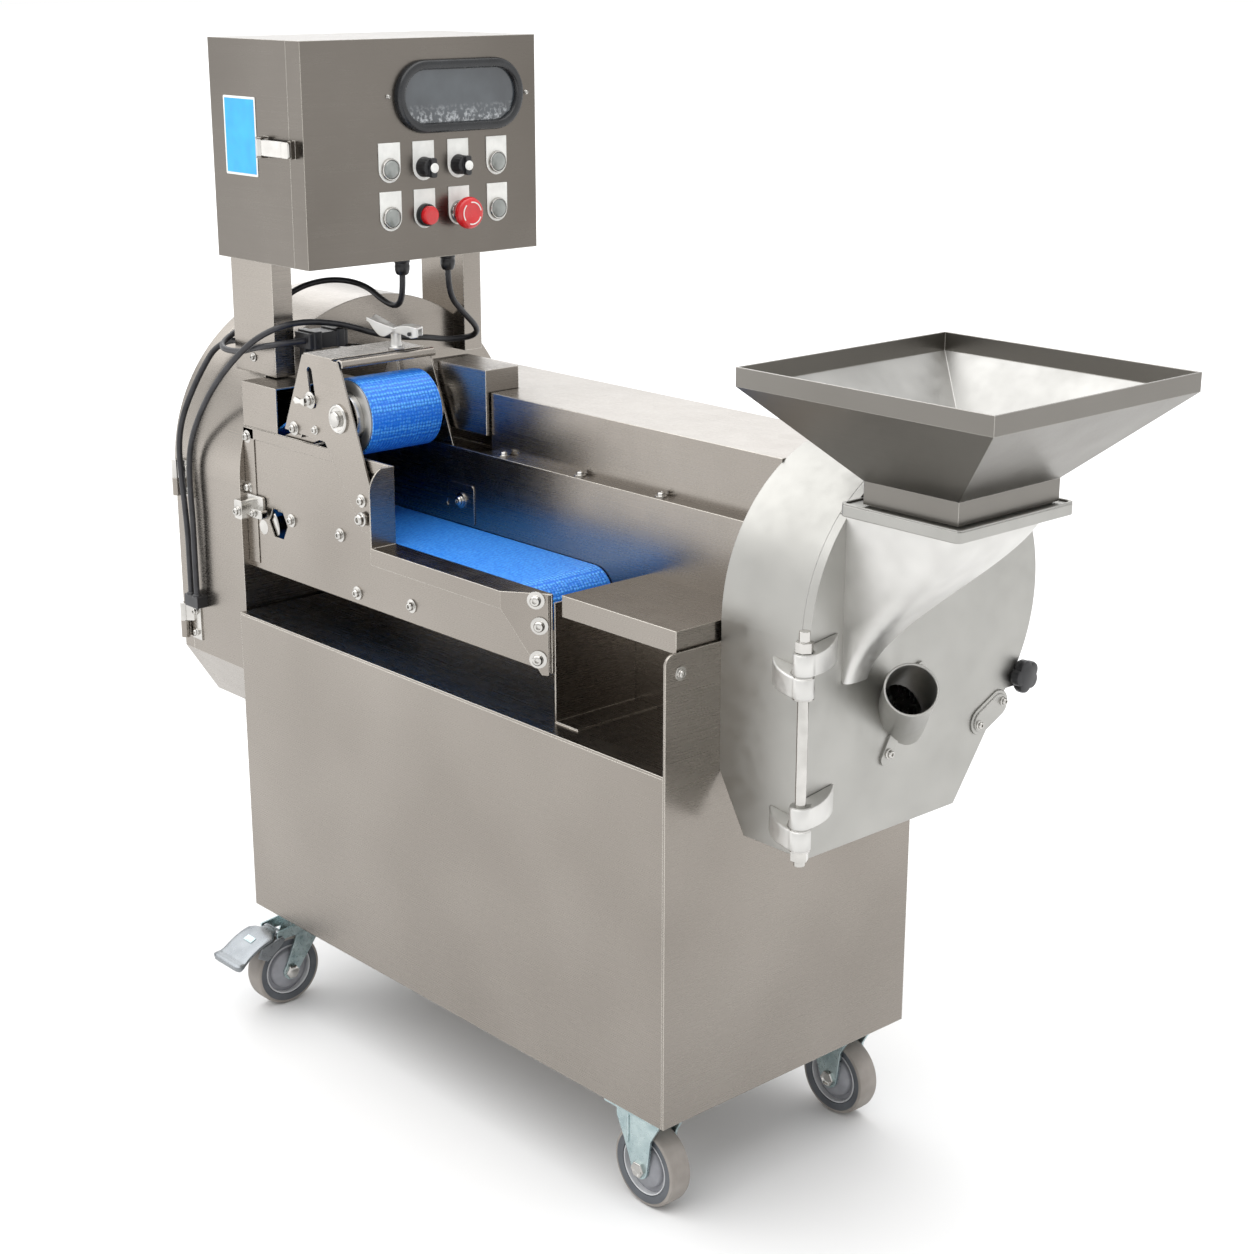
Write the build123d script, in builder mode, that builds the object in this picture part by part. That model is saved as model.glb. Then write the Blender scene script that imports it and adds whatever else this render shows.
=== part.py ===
from build123d import *
from math import atan2, cos, degrees, hypot, pi, radians, sin, sqrt, tan
import os

# A vegetable cutting machine on castors. Its left end is a leaf cutting head fed by a belt
# under a tilting press, its right end a disc cutting head fed by a hopper.
# Millimetres. +X runs from the leaf head to the disc head, +Y to the back, +Z up.
# The origin is on the floor, below the middle of the whole machine.
# Depths are measured back from the cabinet's front plane and lengths left or right from the
# plane of its right end, so a place is written as fy + depth and ex - length.

# Sheet and fits
sheet = 2.0
fit_gap = 0.05
seat_gap = 0.3
clear_gap = 2.0

# Cabinet
cabinet_length = 834.0
cabinet_depth = 406.0
cabinet_height = 424.5
castor_height = 134.0
end_panel_thickness = 3.0
end_panel_rise = 136.5
end_panel_radius = 12.0
deck_thickness = 3.0
deck_rim = 18.0
service_margin = 70.0
louvre_length = 100.0
louvre_height = 8.0
louvre_pitch_x = 150.0
louvre_pitch_z = 22.0
bracket_left = 214.0
bracket_foot = 40.0
bracket_top = 702.0

# Castors
wheel_radius = 50.0
wheel_width = 32.0
wheel_hub_radius = 33.0
wheel_hub_recess = 5.0
axle_radius = 6.0
fixed_inset_x = 62.0
castor_inset_y = 42.0
swivel_inset_x = 44.0
swivel_inset_y = 48.0
swivel_trail = 37.0
swivel_race = 8.0
fork_gap = 2.5
fork_sheet = 3.0
fork_width = 44.0
castor_plate = 80.0
castor_plate_thickness = 4.0
stem_radius = 12.0
pedal_length = 81.0
pedal_fall = 30.0
pedal_width = 46.0
pedal_thickness = 4.0
pedal_pivot_drop = 26.0
pedal_pivot_reach = 14.0
pedal_pin_radius = 3.0
pedal_barrel_radius = 6.0

# Feed conveyor
belt_width = 120.0
belt_top = 710.0
belt_thickness = 2.5
belt_left = 838.0
belt_right = 250.0
feed_roller_radius = 30.0
journal_radius = 10.0
conveyor_front = 25.0
conveyor_bottom = 618.0
conveyor_wall_top = 809.0
conveyor_right = 215.0
bed_thickness = 3.0
step_x = 514.0
shelf_right = 264.0
shelf_overhang = 35.0
shelf_apron = 19.0
end_cap_drop = 95.0
wall_flange = 20.0
flange_left = 500.0
hex_hole_x = 770.0
hex_hole_z = 688.0
hex_hole_radius = 22.0

# Side table
table_left = 191.0
table_right = 2.0
table_front = 20.0
table_rise = 158.5
table_apron = 25.0

# Rear cover over the shafts
cover_left = 740.0
cover_step = 500.0
cover_front = 170.0
cover_notch = 216.0
cover_ridge_back = 320.0
cover_top = 882.0
cover_eave = 800.0
guard_top = 798.0
box_cover_left = 600.0
box_cover_length = 97.0
box_cover_front = 164.0
box_cover_bottom = 828.0
box_cover_top = 910.0

# Leaf cutting head
leaf_head_right = 842.0
leaf_head_depth = 140.0
leaf_head_radius = 231.0
leaf_centre_y = 245.0
leaf_centre_z = 728.0
leaf_front_bottom = 470.0
leaf_outlet_front = 62.0
leaf_outlet_back = 262.0
leaf_outlet_z = 395.0
leaf_back_angle = 27.5
leaf_door_thickness = 23.0
mount_pad_height = 60.0
mouth_bottom = 700.0
throat_length = 80.0
throat_top = 868.0
knife_radius = 200.0
knife_hub_radius = 42.0
knife_thickness = 6.0
knife_width = 58.0
knife_shaft_radius = 15.0
knife_pulley_radius = 60.0
knife_pulley_x = 575.0
leaf_hinge_z = (512.0, 716.0)
leaf_hinge_height = 50.0
leaf_hinge_radius = 6.0

# Press over the belt
press_pivot_x = 564.0
press_pivot_z = 735.0
press_plate = 3.0
press_front = 18.0
press_back = 157.0
press_arm_radius = 18.0
drum_x = 611.0
drum_z = 853.0
drum_radius = 45.5
drum_collar_radius = 33.0
press_belt_front = 36.0
press_belt_width = 105.0
nose_x = 812.0
nose_z = 770.0
nose_radius = 16.0
nose_arm_width = 24.0
nose_arm_gap = 2.0
tie_bar_width = 60.0
tie_bar_height = 14.0
press_slot_length = 52.0
press_slot_width = 12.0
wing_x = 630.0
wing_y = 122.0
wing_screw_radius = 5.0

# Control box
box_front = 710.0
box_depth = 209.0
box_y = 49.0
box_width = 371.0
box_bottom = 1021.5
box_height = 278.5
box_door_depth = 31.0
column_x = 865.0
column_width = 96.0
column_depth = 30.0
column_inset = 14.0
column_wall = 2.5
window_y = 292.0
window_z = 1227.0
window_width = 206.0
window_height = 92.0
window_thickness = 10.0
window_lap = 8.0
window_bead = 10.0
control_row_z = (1139.0, 1078.0)
control_column_y = (178.0, 232.0, 288.0, 352.0)
lamp_radius = 13.0
lamp_height = 7.0
knob_radius = 13.0
knob_height = 24.0
button_radius = 13.0
button_height = 16.0
button_travel = 4.0
stop_radius = 21.0
stop_height = 30.0
stop_travel = 6.0
control_stem_radius = 8.0
control_stem_length = 22.0
latch_z = 1169.0
latch_width = 22.0
latch_stand = 9.0
latch_reach = 52.0
latch_pin_radius = 2.5
latch_thickness = 3.0
latch_catch_inset = 10.0
latch_catch_length = 6.0
box_hinge_radius = 5.0
box_hinge_height = 50.0
box_hinge_inset = 60.0
box_hinge_leaf = 18.0

# Disc cutting head
disc_head_width = 118.0
disc_head_radius = 186.0
disc_centre_y = 268.0
disc_centre_z = 720.0
disc_head_bottom = 482.0
disc_bottom_back = 325.0
disc_back_angle = 43.0
disc_cut_x = 39.0
disc_cut_z = 548.0
disc_door_thickness = 12.0
slicing_disc_radius = 165.0
slicing_disc_thickness = 5.0
disc_hub_radius = 32.0
disc_shaft_radius = 14.0
disc_recess = 24.0
disc_hub_length = 30.0
disc_shaft_tail = 50.0
disc_pulley_radius = 50.0
disc_pulley_x = 120.0
hinge_rod_x = 139.0
hinge_rod_y = 64.0
hinge_rod_bottom = 484.0
hinge_rod_top = 742.0
hinge_rod_radius = 6.0
hinge_barrel_radius = 11.0
hinge_barrel_height = 25.0
hinge_level_z = (501.0, 669.0)
star_knob_z = 612.0
star_knob_radius = 20.0
star_screw_radius = 5.0
star_screw_length = 26.0
star_bore_gap = 1.0
latch_lug_height = 24.0
latch_lug_depth = 26.0
door_skin = 5.0

# Hopper, its tray and the feed tube
hopper_x = 214.0
hopper_y = 212.0
hopper_length = 331.0
hopper_width = 325.0
hopper_top = 1003.0
hopper_rim = 20.0
neck_length = 124.0
neck_width = 160.0
neck_height = 24.0
tray_top = 866.0
tray_height = 14.0
tray_border = 12.0
spigot_depth = 10.0
spigot_gap = 0.5
scoop_bottom_z = 668.0
scoop_bottom_front = 132.0
scoop_bottom_width = 36.0
scoop_bottom_reach = 8.0
scoop_radius = 20.0
tube_radius = 29.0
tube_length = 88.0
tube_bore_start = 38.0
tube_bore_relief = 0.8
tube_root_y = 231.0
tube_root_z = 612.0
tube_direction = (0.6, -0.55, 0.58)
tube_strap_length = 122.0
tube_strap_width = 16.0
tube_strap_thickness = 3.0
tube_strap_angle = 60.0

# Drive inside the cabinet
motor_radius = 62.0
motor_length = 190.0
motor_axis_z = 290.0
motor_shaft_radius = 12.0
motor_pulley_radius = 38.0
drive_belt_thickness = 8.0
drive_belt_width = 12.0
pedestal_length = 40.0
pedestal_width = 90.0
gearbox_size = 54.0
gear_motor_radius = 26.0
gear_motor_length = 105.0
flange_bearing_radius = 28.0
flange_bearing_length = 22.0
motor_gap = 30.0
motor_foot_lap = 12.0

# Bolts
bolt_radius = 6.0
bolt_head_height = 4.0
end_panel_bolt_y = 21.5
end_panel_bolt_drop = 23.0
wall_bolt_x = 538.0
wall_bolt_z = 742.0

# Cables and their fittings
cable_radius = 4.0
gland_radius = 10.0
gland_height = 22.0
clip_post_size = 14.0
clip_width = 36.0
clip_length = 62.0
clip_height = 20.0
switch_width = 34.0
switch_height = 17.0

# Datum, worked out from what reaches furthest each way
left_reach = leaf_head_right + leaf_head_depth + leaf_door_thickness
right_reach = hopper_x + hopper_length / 2
front_reach = swivel_trail + pedal_pivot_reach + pedal_length - swivel_inset_y
back_reach = leaf_centre_y + leaf_head_radius
ex = (left_reach - right_reach) / 2
fy = (front_reach - back_reach) / 2
deck_z = castor_height + cabinet_height
cabinet_left = ex - cabinet_length
cabinet_back = fy + cabinet_depth
shell_top = deck_z - deck_thickness
conveyor_inner_front = fy + conveyor_front + sheet
wall_gap = 1.5
belt_front_y = conveyor_inner_front + wall_gap
wall_y = belt_front_y + belt_width + wall_gap
feed_axis_z = belt_top - belt_thickness - seat_gap - feed_roller_radius
belt_reach = feed_roller_radius + seat_gap + belt_thickness
drive_roller_x = ex - belt_left + belt_reach
tail_roller_x = ex - belt_right - belt_reach
leaf_face_x = ex - leaf_head_right

os.makedirs("parts", exist_ok=True)


def save(piece, name):
    piece.label = name
    export_step(piece, f"parts/{name}.step")


# Cabinet shell: folded front, back, left end and bottom, open at the right end
with BuildPart() as cabinet_shell:
    shell_length = cabinet_length - end_panel_thickness
    with BuildSketch(Plane.XY.offset(castor_height)):
        with Locations((cabinet_left + shell_length / 2, fy + cabinet_depth / 2)):
            Rectangle(shell_length, cabinet_depth)
    extrude(amount=cabinet_height - deck_thickness)
    offset(amount=-sheet, openings=cabinet_shell.faces().sort_by(Axis.X)[-1])
    with BuildSketch(Plane.XY.offset(shell_top - sheet)):
        with Locations((cabinet_left + shell_length / 2, fy + cabinet_depth / 2)):
            Rectangle(shell_length - 2 * deck_rim, cabinet_depth - 2 * deck_rim)
    extrude(amount=sheet, mode=Mode.SUBTRACT)
    service_z = castor_height + cabinet_height / 2
    with BuildSketch(Plane.XZ.offset(-cabinet_back)):
        with Locations((cabinet_left + cabinet_length / 2, service_z)):
            Rectangle(cabinet_length - 2 * service_margin, cabinet_height - 2 * service_margin)
    extrude(amount=sheet, mode=Mode.SUBTRACT)
save(cabinet_shell.part, "cabinet_shell")

# Service panel screwed over the opening in the back, with a field of louvres
with BuildPart() as back_panel:
    panel_margin = service_margin - deck_rim
    with BuildSketch(Plane.XZ.offset(-cabinet_back)):
        with Locations((cabinet_left + cabinet_length / 2, service_z)):
            RectangleRounded(cabinet_length - 2 * panel_margin, cabinet_height - 2 * panel_margin, 10)
            with GridLocations(louvre_pitch_x, louvre_pitch_z, 3, 5):
                SlotOverall(louvre_length, louvre_height, mode=Mode.SUBTRACT)
    extrude(amount=-sheet)
save(back_panel.part, "cabinet_back_panel")

# Right end panel, which rises above the deck to carry the disc head
with BuildPart() as end_panel:
    panel_top = deck_z + end_panel_rise
    with BuildSketch(Plane.YZ.offset(ex - end_panel_thickness)):
        with Locations((fy + cabinet_depth / 2, castor_height)):
            Rectangle(cabinet_depth, panel_top - castor_height, align=(Align.CENTER, Align.MIN))
    extrude(amount=end_panel_thickness)
    front_top = end_panel.edges().filter_by(Axis.X).group_by(Axis.Z)[-1].sort_by(Axis.Y)[0]
    fillet(front_top, end_panel_radius)
    with BuildSketch(Plane.YZ.offset(ex - end_panel_thickness)):
        with Locations((fy + disc_centre_y, disc_centre_z)):
            Circle(disc_shaft_radius + clear_gap)
    extrude(amount=end_panel_thickness, mode=Mode.SUBTRACT)
save(end_panel.part, "cabinet_end_panel")

# Deck with the slots for the two drive belts, and the folded bracket that props the conveyor
slot_length = 2 * knife_pulley_radius + 4 * drive_belt_thickness
with BuildPart() as deck:
    with BuildSketch(Plane.XY.offset(shell_top)):
        with Locations((cabinet_left + shell_length / 2, fy + cabinet_depth / 2)):
            Rectangle(shell_length, cabinet_depth)
        with Locations(
            (ex - knife_pulley_x, fy + leaf_centre_y),
            (ex - disc_pulley_x, fy + disc_centre_y),
        ):
            Rectangle(2 * drive_belt_width, slot_length, mode=Mode.SUBTRACT)
    extrude(amount=deck_thickness)
    with BuildSketch(Plane.XZ.offset(-fy - conveyor_front - sheet - seat_gap)):
        with BuildLine():
            Polyline(
                (ex - bracket_left, bracket_top),
                (ex - bracket_left, deck_z),
                (ex - bracket_left + bracket_foot, deck_z),
                (ex - bracket_left + bracket_foot, deck_z + sheet),
                (ex - bracket_left + sheet, deck_z + sheet),
                (ex - bracket_left + sheet, bracket_top),
                close=True,
            )
        make_face()
    extrude(amount=-(wall_y - conveyor_inner_front - 2 * seat_gap))
save(deck.part, "cabinet_deck")

# Conveyor front plate with its stepped top, the hand hole and the roller journal holes
with BuildPart() as front_plate:
    with BuildSketch(Plane.XZ.offset(-fy - conveyor_front - sheet)):
        with BuildLine():
            Polyline(
                (leaf_face_x, conveyor_bottom),
                (leaf_face_x, conveyor_wall_top),
                (ex - step_x, conveyor_wall_top),
                (ex - step_x, belt_top),
                (ex - conveyor_right, belt_top),
                (ex - conveyor_right, conveyor_bottom),
                close=True,
            )
        make_face()
        with Locations((ex - hex_hole_x, hex_hole_z)):
            RegularPolygon(hex_hole_radius, 6, mode=Mode.SUBTRACT)
        with Locations((drive_roller_x, feed_axis_z), (tail_roller_x, feed_axis_z)):
            Circle(journal_radius + fit_gap, mode=Mode.SUBTRACT)
    extrude(amount=sheet)
save(front_plate.part, "conveyor_front_plate")

# Conveyor back wall, full length, with the turned-back flange that carries the rear cover
with BuildPart() as back_wall:
    with BuildSketch(Plane.XZ.offset(-wall_y)):
        with BuildLine():
            Polyline(
                (leaf_face_x, conveyor_bottom),
                (leaf_face_x, conveyor_wall_top),
                (ex - end_panel_thickness, conveyor_wall_top),
                (ex - end_panel_thickness, deck_z),
                (ex - conveyor_right, deck_z),
                (ex - conveyor_right, conveyor_bottom),
                close=True,
            )
        make_face()
        with Locations((drive_roller_x, feed_axis_z), (tail_roller_x, feed_axis_z)):
            Circle(journal_radius + fit_gap, mode=Mode.SUBTRACT)
        with Locations((ex - press_pivot_x, press_pivot_z)):
            Circle(journal_radius / 2, mode=Mode.SUBTRACT)
    extrude(amount=-sheet)
    flange_length = flange_left - end_panel_thickness
    with BuildSketch(Plane.XY.offset(conveyor_wall_top - sheet)):
        with Locations((ex - flange_left, wall_y)):
            Rectangle(flange_length, wall_flange, align=(Align.MIN, Align.MIN))
    extrude(amount=sheet)
save(back_wall.part, "conveyor_back_wall")

# Slider bed between the belt's two runs, set between the plates
with BuildPart() as belt_bed:
    bed_left = drive_roller_x + feed_roller_radius + clear_gap
    bed_right = tail_roller_x - feed_roller_radius - clear_gap
    bed_top = belt_top - belt_thickness - seat_gap
    with BuildSketch(Plane.XY.offset(bed_top - bed_thickness)):
        with Locations(((bed_left + bed_right) / 2, (conveyor_inner_front + wall_y) / 2)):
            Rectangle(bed_right - bed_left, wall_y - conveyor_inner_front)
    extrude(amount=bed_thickness)
save(belt_bed.part, "belt_bed")

# Feed belt: one closed loop round both rollers
with BuildPart() as feed_belt:
    with BuildSketch(Plane.XZ.offset(-belt_front_y)):
        belt_middle = ((drive_roller_x + tail_roller_x) / 2, feed_axis_z)
        with Locations(belt_middle):
            SlotCenterToCenter(tail_roller_x - drive_roller_x, 2 * belt_reach)
            SlotCenterToCenter(
                tail_roller_x - drive_roller_x, 2 * (feed_roller_radius + seat_gap), mode=Mode.SUBTRACT
            )
    extrude(amount=-belt_width)
save(feed_belt.part, "feed_belt")

# Feed rollers with journals that run in the plates; the drive roller's reaches its gearbox
guard_front = fy + box_cover_front
gearbox_front = guard_front + sheet + clear_gap
rollers = (
    ("feed_drive_roller", drive_roller_x, gearbox_front + gearbox_size / 2),
    ("feed_tail_roller", tail_roller_x, wall_y + sheet),
)
for roller_name, roller_x, journal_end in rollers:
    with BuildPart() as roller:
        with BuildSketch(Plane.XZ.offset(-belt_front_y)):
            with Locations((roller_x, feed_axis_z)):
                Circle(feed_roller_radius)
        extrude(amount=-belt_width)
        with BuildSketch(Plane.XZ.offset(-fy - conveyor_front)):
            with Locations((roller_x, feed_axis_z)):
                Circle(journal_radius)
        extrude(amount=-(journal_end - fy - conveyor_front))
        chamfer(roller.edges().filter_by(GeomType.CIRCLE).group_by(SortBy.LENGTH)[-1], 1.5)
    save(roller.part, roller_name)

# Front shelf: a folded ledge along the belt with an upright guide at the step and a
# tapered cap at its right end
shelf_left_x = ex - step_x
shelf_corner_x = ex - shelf_right
shelf_tip_x = ex - conveyor_right
shelf_edge_y = fy + conveyor_front - shelf_overhang
with BuildPart() as shelf:
    with BuildSketch(Plane.XY.offset(belt_top)):
        with BuildLine():
            Polyline(
                (shelf_left_x, shelf_edge_y),
                (shelf_corner_x, shelf_edge_y),
                (shelf_tip_x, fy + conveyor_front),
                (shelf_tip_x, conveyor_inner_front),
                (shelf_left_x, conveyor_inner_front),
                close=True,
            )
        make_face()
    extrude(amount=sheet)
    with BuildSketch(Plane.XY.offset(belt_top - shelf_apron)):
        with Locations((shelf_left_x, shelf_edge_y)):
            Rectangle(shelf_corner_x - shelf_left_x, sheet, align=(Align.MIN, Align.MIN))
    extrude(amount=shelf_apron)
    with BuildSketch(Plane.YZ.offset(shelf_left_x)):
        with BuildLine():
            guide_front = (shelf_edge_y, belt_top - shelf_apron)
            guide_bend = (shelf_edge_y, conveyor_wall_top - shelf_overhang)
            guide_top = (shelf_edge_y + shelf_overhang / 2, conveyor_wall_top)
            Line(guide_front, guide_bend)
            RadiusArc(guide_bend, guide_top, shelf_overhang)
            Polyline(
                guide_top,
                (conveyor_inner_front, conveyor_wall_top),
                (conveyor_inner_front, belt_top),
                (fy + conveyor_front, belt_top),
                (fy + conveyor_front, belt_top - shelf_apron),
                guide_front,
            )
        make_face()
    extrude(amount=sheet)
    cap_run = hypot(shelf_tip_x - shelf_corner_x, fy + conveyor_front - shelf_edge_y)
    cap_plane = Plane(
        origin=(shelf_corner_x, shelf_edge_y, belt_top),
        x_dir=(shelf_tip_x - shelf_corner_x, fy + conveyor_front - shelf_edge_y, 0),
        z_dir=(fy + conveyor_front - shelf_edge_y, shelf_corner_x - shelf_tip_x, 0),
    )
    with BuildSketch(cap_plane):
        with BuildLine():
            Polyline(
                (0, 0),
                (cap_run - 2 * sheet, 0),
                (cap_run - 2 * sheet, -end_cap_drop),
                (cap_run * 0.8, -end_cap_drop),
                (0, -shelf_apron),
                close=True,
            )
        make_face()
    extrude(amount=-sheet)
save(shelf.part, "front_shelf")

# Side table beside the conveyor: a folded tray standing on the end panel's side
with BuildPart() as side_table:
    table_depth = wall_y - fy - table_front
    table_length = table_left - table_right - end_panel_thickness
    with BuildSketch(Plane.XY.offset(deck_z + table_rise - table_apron)):
        with Locations((ex - table_left, fy + table_front)):
            Rectangle(table_length, table_depth, align=(Align.MIN, Align.MIN))
    extrude(amount=table_apron)
    offset(amount=-sheet, openings=side_table.faces().sort_by(Axis.Z)[0])
save(side_table.part, "side_table")

# Rear cover: a long hood over both shafts, with a low guard beside the leaf head and a
# small box cover in front of it
hood_parts = (
    (cover_step, fy + cover_front, cover_top),
    (cover_left, fy + cover_notch, cover_top),
    (leaf_head_right, guard_front, guard_top),
)


def hood_outline(front, top, inset):
    """Closed outline across the hood: up the front, over the ridge, down the sloping back."""
    with BuildSketch() as outline:
        with BuildLine():
            Polyline(
                (front + inset, deck_z),
                (front + inset, top - inset),
                (fy + cover_ridge_back, top - inset),
                (cabinet_back - inset, min(cover_eave, top) - inset),
                (cabinet_back - inset, deck_z),
                close=True,
            )
        make_face()
    return outline.sketch


with BuildPart() as rear_cover:
    for reach, front, top in hood_parts:
        with BuildSketch(Plane.YZ.offset(ex - reach)):
            add(hood_outline(front, top, 0))
        extrude(amount=reach)
    for reach, front, top in hood_parts:
        wall = 0 if top == guard_top else sheet
        with BuildSketch(Plane.YZ.offset(ex - reach + wall)):
            add(hood_outline(front, top, sheet))
        extrude(amount=reach - wall, mode=Mode.SUBTRACT)
    with BuildSketch(Plane.YZ.offset(ex - end_panel_thickness)):
        with Locations((fy, deck_z)):
            Rectangle(cabinet_depth, end_panel_rise, align=(Align.MIN, Align.MIN))
    extrude(amount=end_panel_thickness, mode=Mode.SUBTRACT)
    with BuildSketch(Plane.XZ.offset(-guard_front)):
        with Locations((drive_roller_x, feed_axis_z)):
            Circle(journal_radius + clear_gap)
    extrude(amount=-sheet, mode=Mode.SUBTRACT)
with BuildPart() as box_cover:
    box_cover_depth = cover_notch - box_cover_front
    with BuildSketch(Plane.XY.offset(box_cover_bottom)):
        with Locations((ex - box_cover_left, fy + box_cover_front)):
            Rectangle(box_cover_length, box_cover_depth, align=(Align.MIN, Align.MIN))
    extrude(amount=box_cover_top - box_cover_bottom)
    offset(amount=-sheet, openings=box_cover.faces().sort_by(Axis.Y)[-1])
save(Compound(children=[rear_cover.part, box_cover.part]), "rear_covers")


# Leaf cutting head: a drum-shaped housing with an outlet below and a mouth for the belt
def leaf_outline(inset):
    """Round top, straight front, and sides that taper to the outlet."""
    radius = leaf_head_radius - inset
    centre = (fy + leaf_centre_y, leaf_centre_z)
    with BuildSketch() as outline:
        with BuildLine():
            arc = CenterArc(centre, radius, -leaf_back_angle, 180 + leaf_back_angle)
            Polyline(
                arc @ 1,
                (fy + leaf_centre_y - radius, leaf_front_bottom),
                (fy + leaf_outlet_front + inset, leaf_outlet_z),
                (fy + leaf_outlet_back - inset, leaf_outlet_z),
                arc @ 0,
            )
        make_face()
    return outline.sketch


leaf_left_x = leaf_face_x - leaf_head_depth
with BuildPart() as leaf_head:
    with BuildSketch(Plane.YZ.offset(leaf_left_x)):
        add(leaf_outline(0))
    extrude(amount=leaf_head_depth)
    with BuildSketch(Plane.YZ.offset(leaf_left_x)):
        add(leaf_outline(sheet))
    extrude(amount=leaf_head_depth - sheet, mode=Mode.SUBTRACT)
    mouth_width = wall_y - conveyor_inner_front
    with BuildSketch(Plane.YZ.offset(leaf_face_x - sheet)):
        with Locations((conveyor_inner_front, mouth_bottom)):
            Rectangle(mouth_width, throat_top - sheet - mouth_bottom, align=(Align.MIN, Align.MIN))
        with Locations((fy + leaf_centre_y, leaf_centre_z)):
            Circle(knife_shaft_radius + clear_gap)
    extrude(amount=sheet, mode=Mode.SUBTRACT)
    with BuildSketch(Plane.YZ.offset(leaf_face_x)):
        with Locations((fy + conveyor_front, conveyor_wall_top)):
            Rectangle(
                mouth_width + 2 * sheet, throat_top - conveyor_wall_top, align=(Align.MIN, Align.MIN)
            )
        with Locations((conveyor_inner_front, conveyor_wall_top)):
            Rectangle(
                mouth_width,
                throat_top - sheet - conveyor_wall_top,
                align=(Align.MIN, Align.MIN),
                mode=Mode.SUBTRACT,
            )
    extrude(amount=throat_length)
    pad_depth = cabinet_depth - 2 * service_margin
    with BuildSketch(Plane.YZ.offset(leaf_face_x)):
        with Locations((fy + cabinet_depth / 2, deck_z - mount_pad_height)):
            Rectangle(pad_depth, mount_pad_height - deck_thickness, align=(Align.CENTER, Align.MIN))
    extrude(amount=cabinet_left - leaf_face_x)
save(leaf_head.part, "leaf_head_housing")

# Leaf head door: a dished cover with the same outline, hung on two hinges at the front
hinge_line_y = fy + leaf_centre_y - leaf_head_radius - leaf_hinge_radius - clear_gap
hinge_line_x = leaf_left_x - leaf_hinge_radius - clear_gap
with BuildPart() as leaf_door:
    with BuildSketch(Plane.YZ.offset(leaf_left_x - seat_gap)):
        add(leaf_outline(0))
    extrude(amount=-(leaf_door_thickness - seat_gap))
    with BuildSketch(Plane.YZ.offset(leaf_left_x - seat_gap)):
        add(leaf_outline(sheet))
    extrude(amount=-(leaf_door_thickness - seat_gap - sheet), mode=Mode.SUBTRACT)
    for hinge_z in leaf_hinge_z:
        with BuildSketch(Plane.XY.offset(hinge_z - leaf_hinge_height / 2)):
            with Locations((hinge_line_x, hinge_line_y)):
                Circle(leaf_hinge_radius)
            with Locations((hinge_line_x, hinge_line_y)):
                Rectangle(
                    sheet, leaf_hinge_radius + clear_gap + sheet / 2, align=(Align.MAX, Align.MIN)
                )
            with Locations((hinge_line_x, hinge_line_y)):
                Circle(leaf_hinge_radius / 2 + fit_gap, mode=Mode.SUBTRACT)
        extrude(amount=leaf_hinge_height / 2 - seat_gap)
save(leaf_door.part, "leaf_head_door")

# Hinge leaves on the leaf head's front, with the pins
with BuildPart() as leaf_hinges:
    for hinge_z in leaf_hinge_z:
        with BuildSketch(Plane.XY.offset(hinge_z)):
            with Locations((hinge_line_x, hinge_line_y)):
                Circle(leaf_hinge_radius)
        extrude(amount=leaf_hinge_height / 2)
        with BuildSketch(Plane.XY.offset(hinge_z - leaf_hinge_height / 2)):
            with Locations((hinge_line_x, hinge_line_y)):
                Circle(leaf_hinge_radius / 2)
        extrude(amount=leaf_hinge_height / 2)
        leaf_front_y = fy + leaf_centre_y - leaf_head_radius
        with BuildSketch(Plane.XZ.offset(-leaf_front_y)):
            with Locations((leaf_left_x, hinge_z)):
                Rectangle(24, leaf_hinge_height, align=(Align.MIN, Align.CENTER))
        extrude(amount=sheet)
        with BuildSketch(Plane.XY.offset(hinge_z)):
            with BuildLine():
                Polyline(
                    (hinge_line_x, hinge_line_y - leaf_hinge_radius),
                    (leaf_left_x + 6, leaf_front_y - sheet),
                    (leaf_left_x + 6, leaf_front_y - sheet / 2),
                    (hinge_line_x, hinge_line_y),
                    close=True,
                )
            make_face()
        extrude(amount=leaf_hinge_height / 2)

# Knife shaft, running back to its pulley beside the cabinet's belt slot
knife_pulley_left = ex - knife_pulley_x - drive_belt_width / 2
knife_hub_x = leaf_face_x - sheet - clear_gap - knife_thickness
with BuildPart() as knife_shaft:
    with BuildSketch(Plane.YZ.offset(knife_hub_x - 20)):
        with Locations((fy + leaf_centre_y, leaf_centre_z)):
            Circle(knife_shaft_radius)
    extrude(amount=knife_pulley_left + drive_belt_width + 10 - knife_hub_x + 20)
    with BuildSketch(Plane.YZ.offset(knife_pulley_left)):
        with Locations((fy + leaf_centre_y, leaf_centre_z)):
            Circle(knife_pulley_radius)
    extrude(amount=drive_belt_width)
save(knife_shaft.part, "knife_shaft")

# Leaf knives: two curved blades on a hub, just behind the mouth
with BuildSketch() as blade:
    with BuildLine():
        blade_root = (0, knife_hub_radius - sheet)
        blade_tip = (knife_radius * cos(radians(10)), knife_radius * sin(radians(10)))
        blade_heel = (knife_radius - knife_width / 2, -knife_width / 4)
        blade_back = (0, -knife_hub_radius + sheet)
        RadiusArc(blade_root, blade_tip, -knife_radius)
        Line(blade_tip, blade_heel)
        RadiusArc(blade_heel, blade_back, knife_radius * 1.6)
        Line(blade_back, blade_root)
    make_face()
with BuildPart() as leaf_knives:
    with BuildSketch(Plane.YZ.offset(knife_hub_x)):
        with Locations((fy + leaf_centre_y, leaf_centre_z)):
            Circle(knife_hub_radius)
            with PolarLocations(0.001, 2):
                add(blade.sketch)
            Circle(knife_shaft_radius, mode=Mode.SUBTRACT)
    extrude(amount=knife_thickness)
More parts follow.
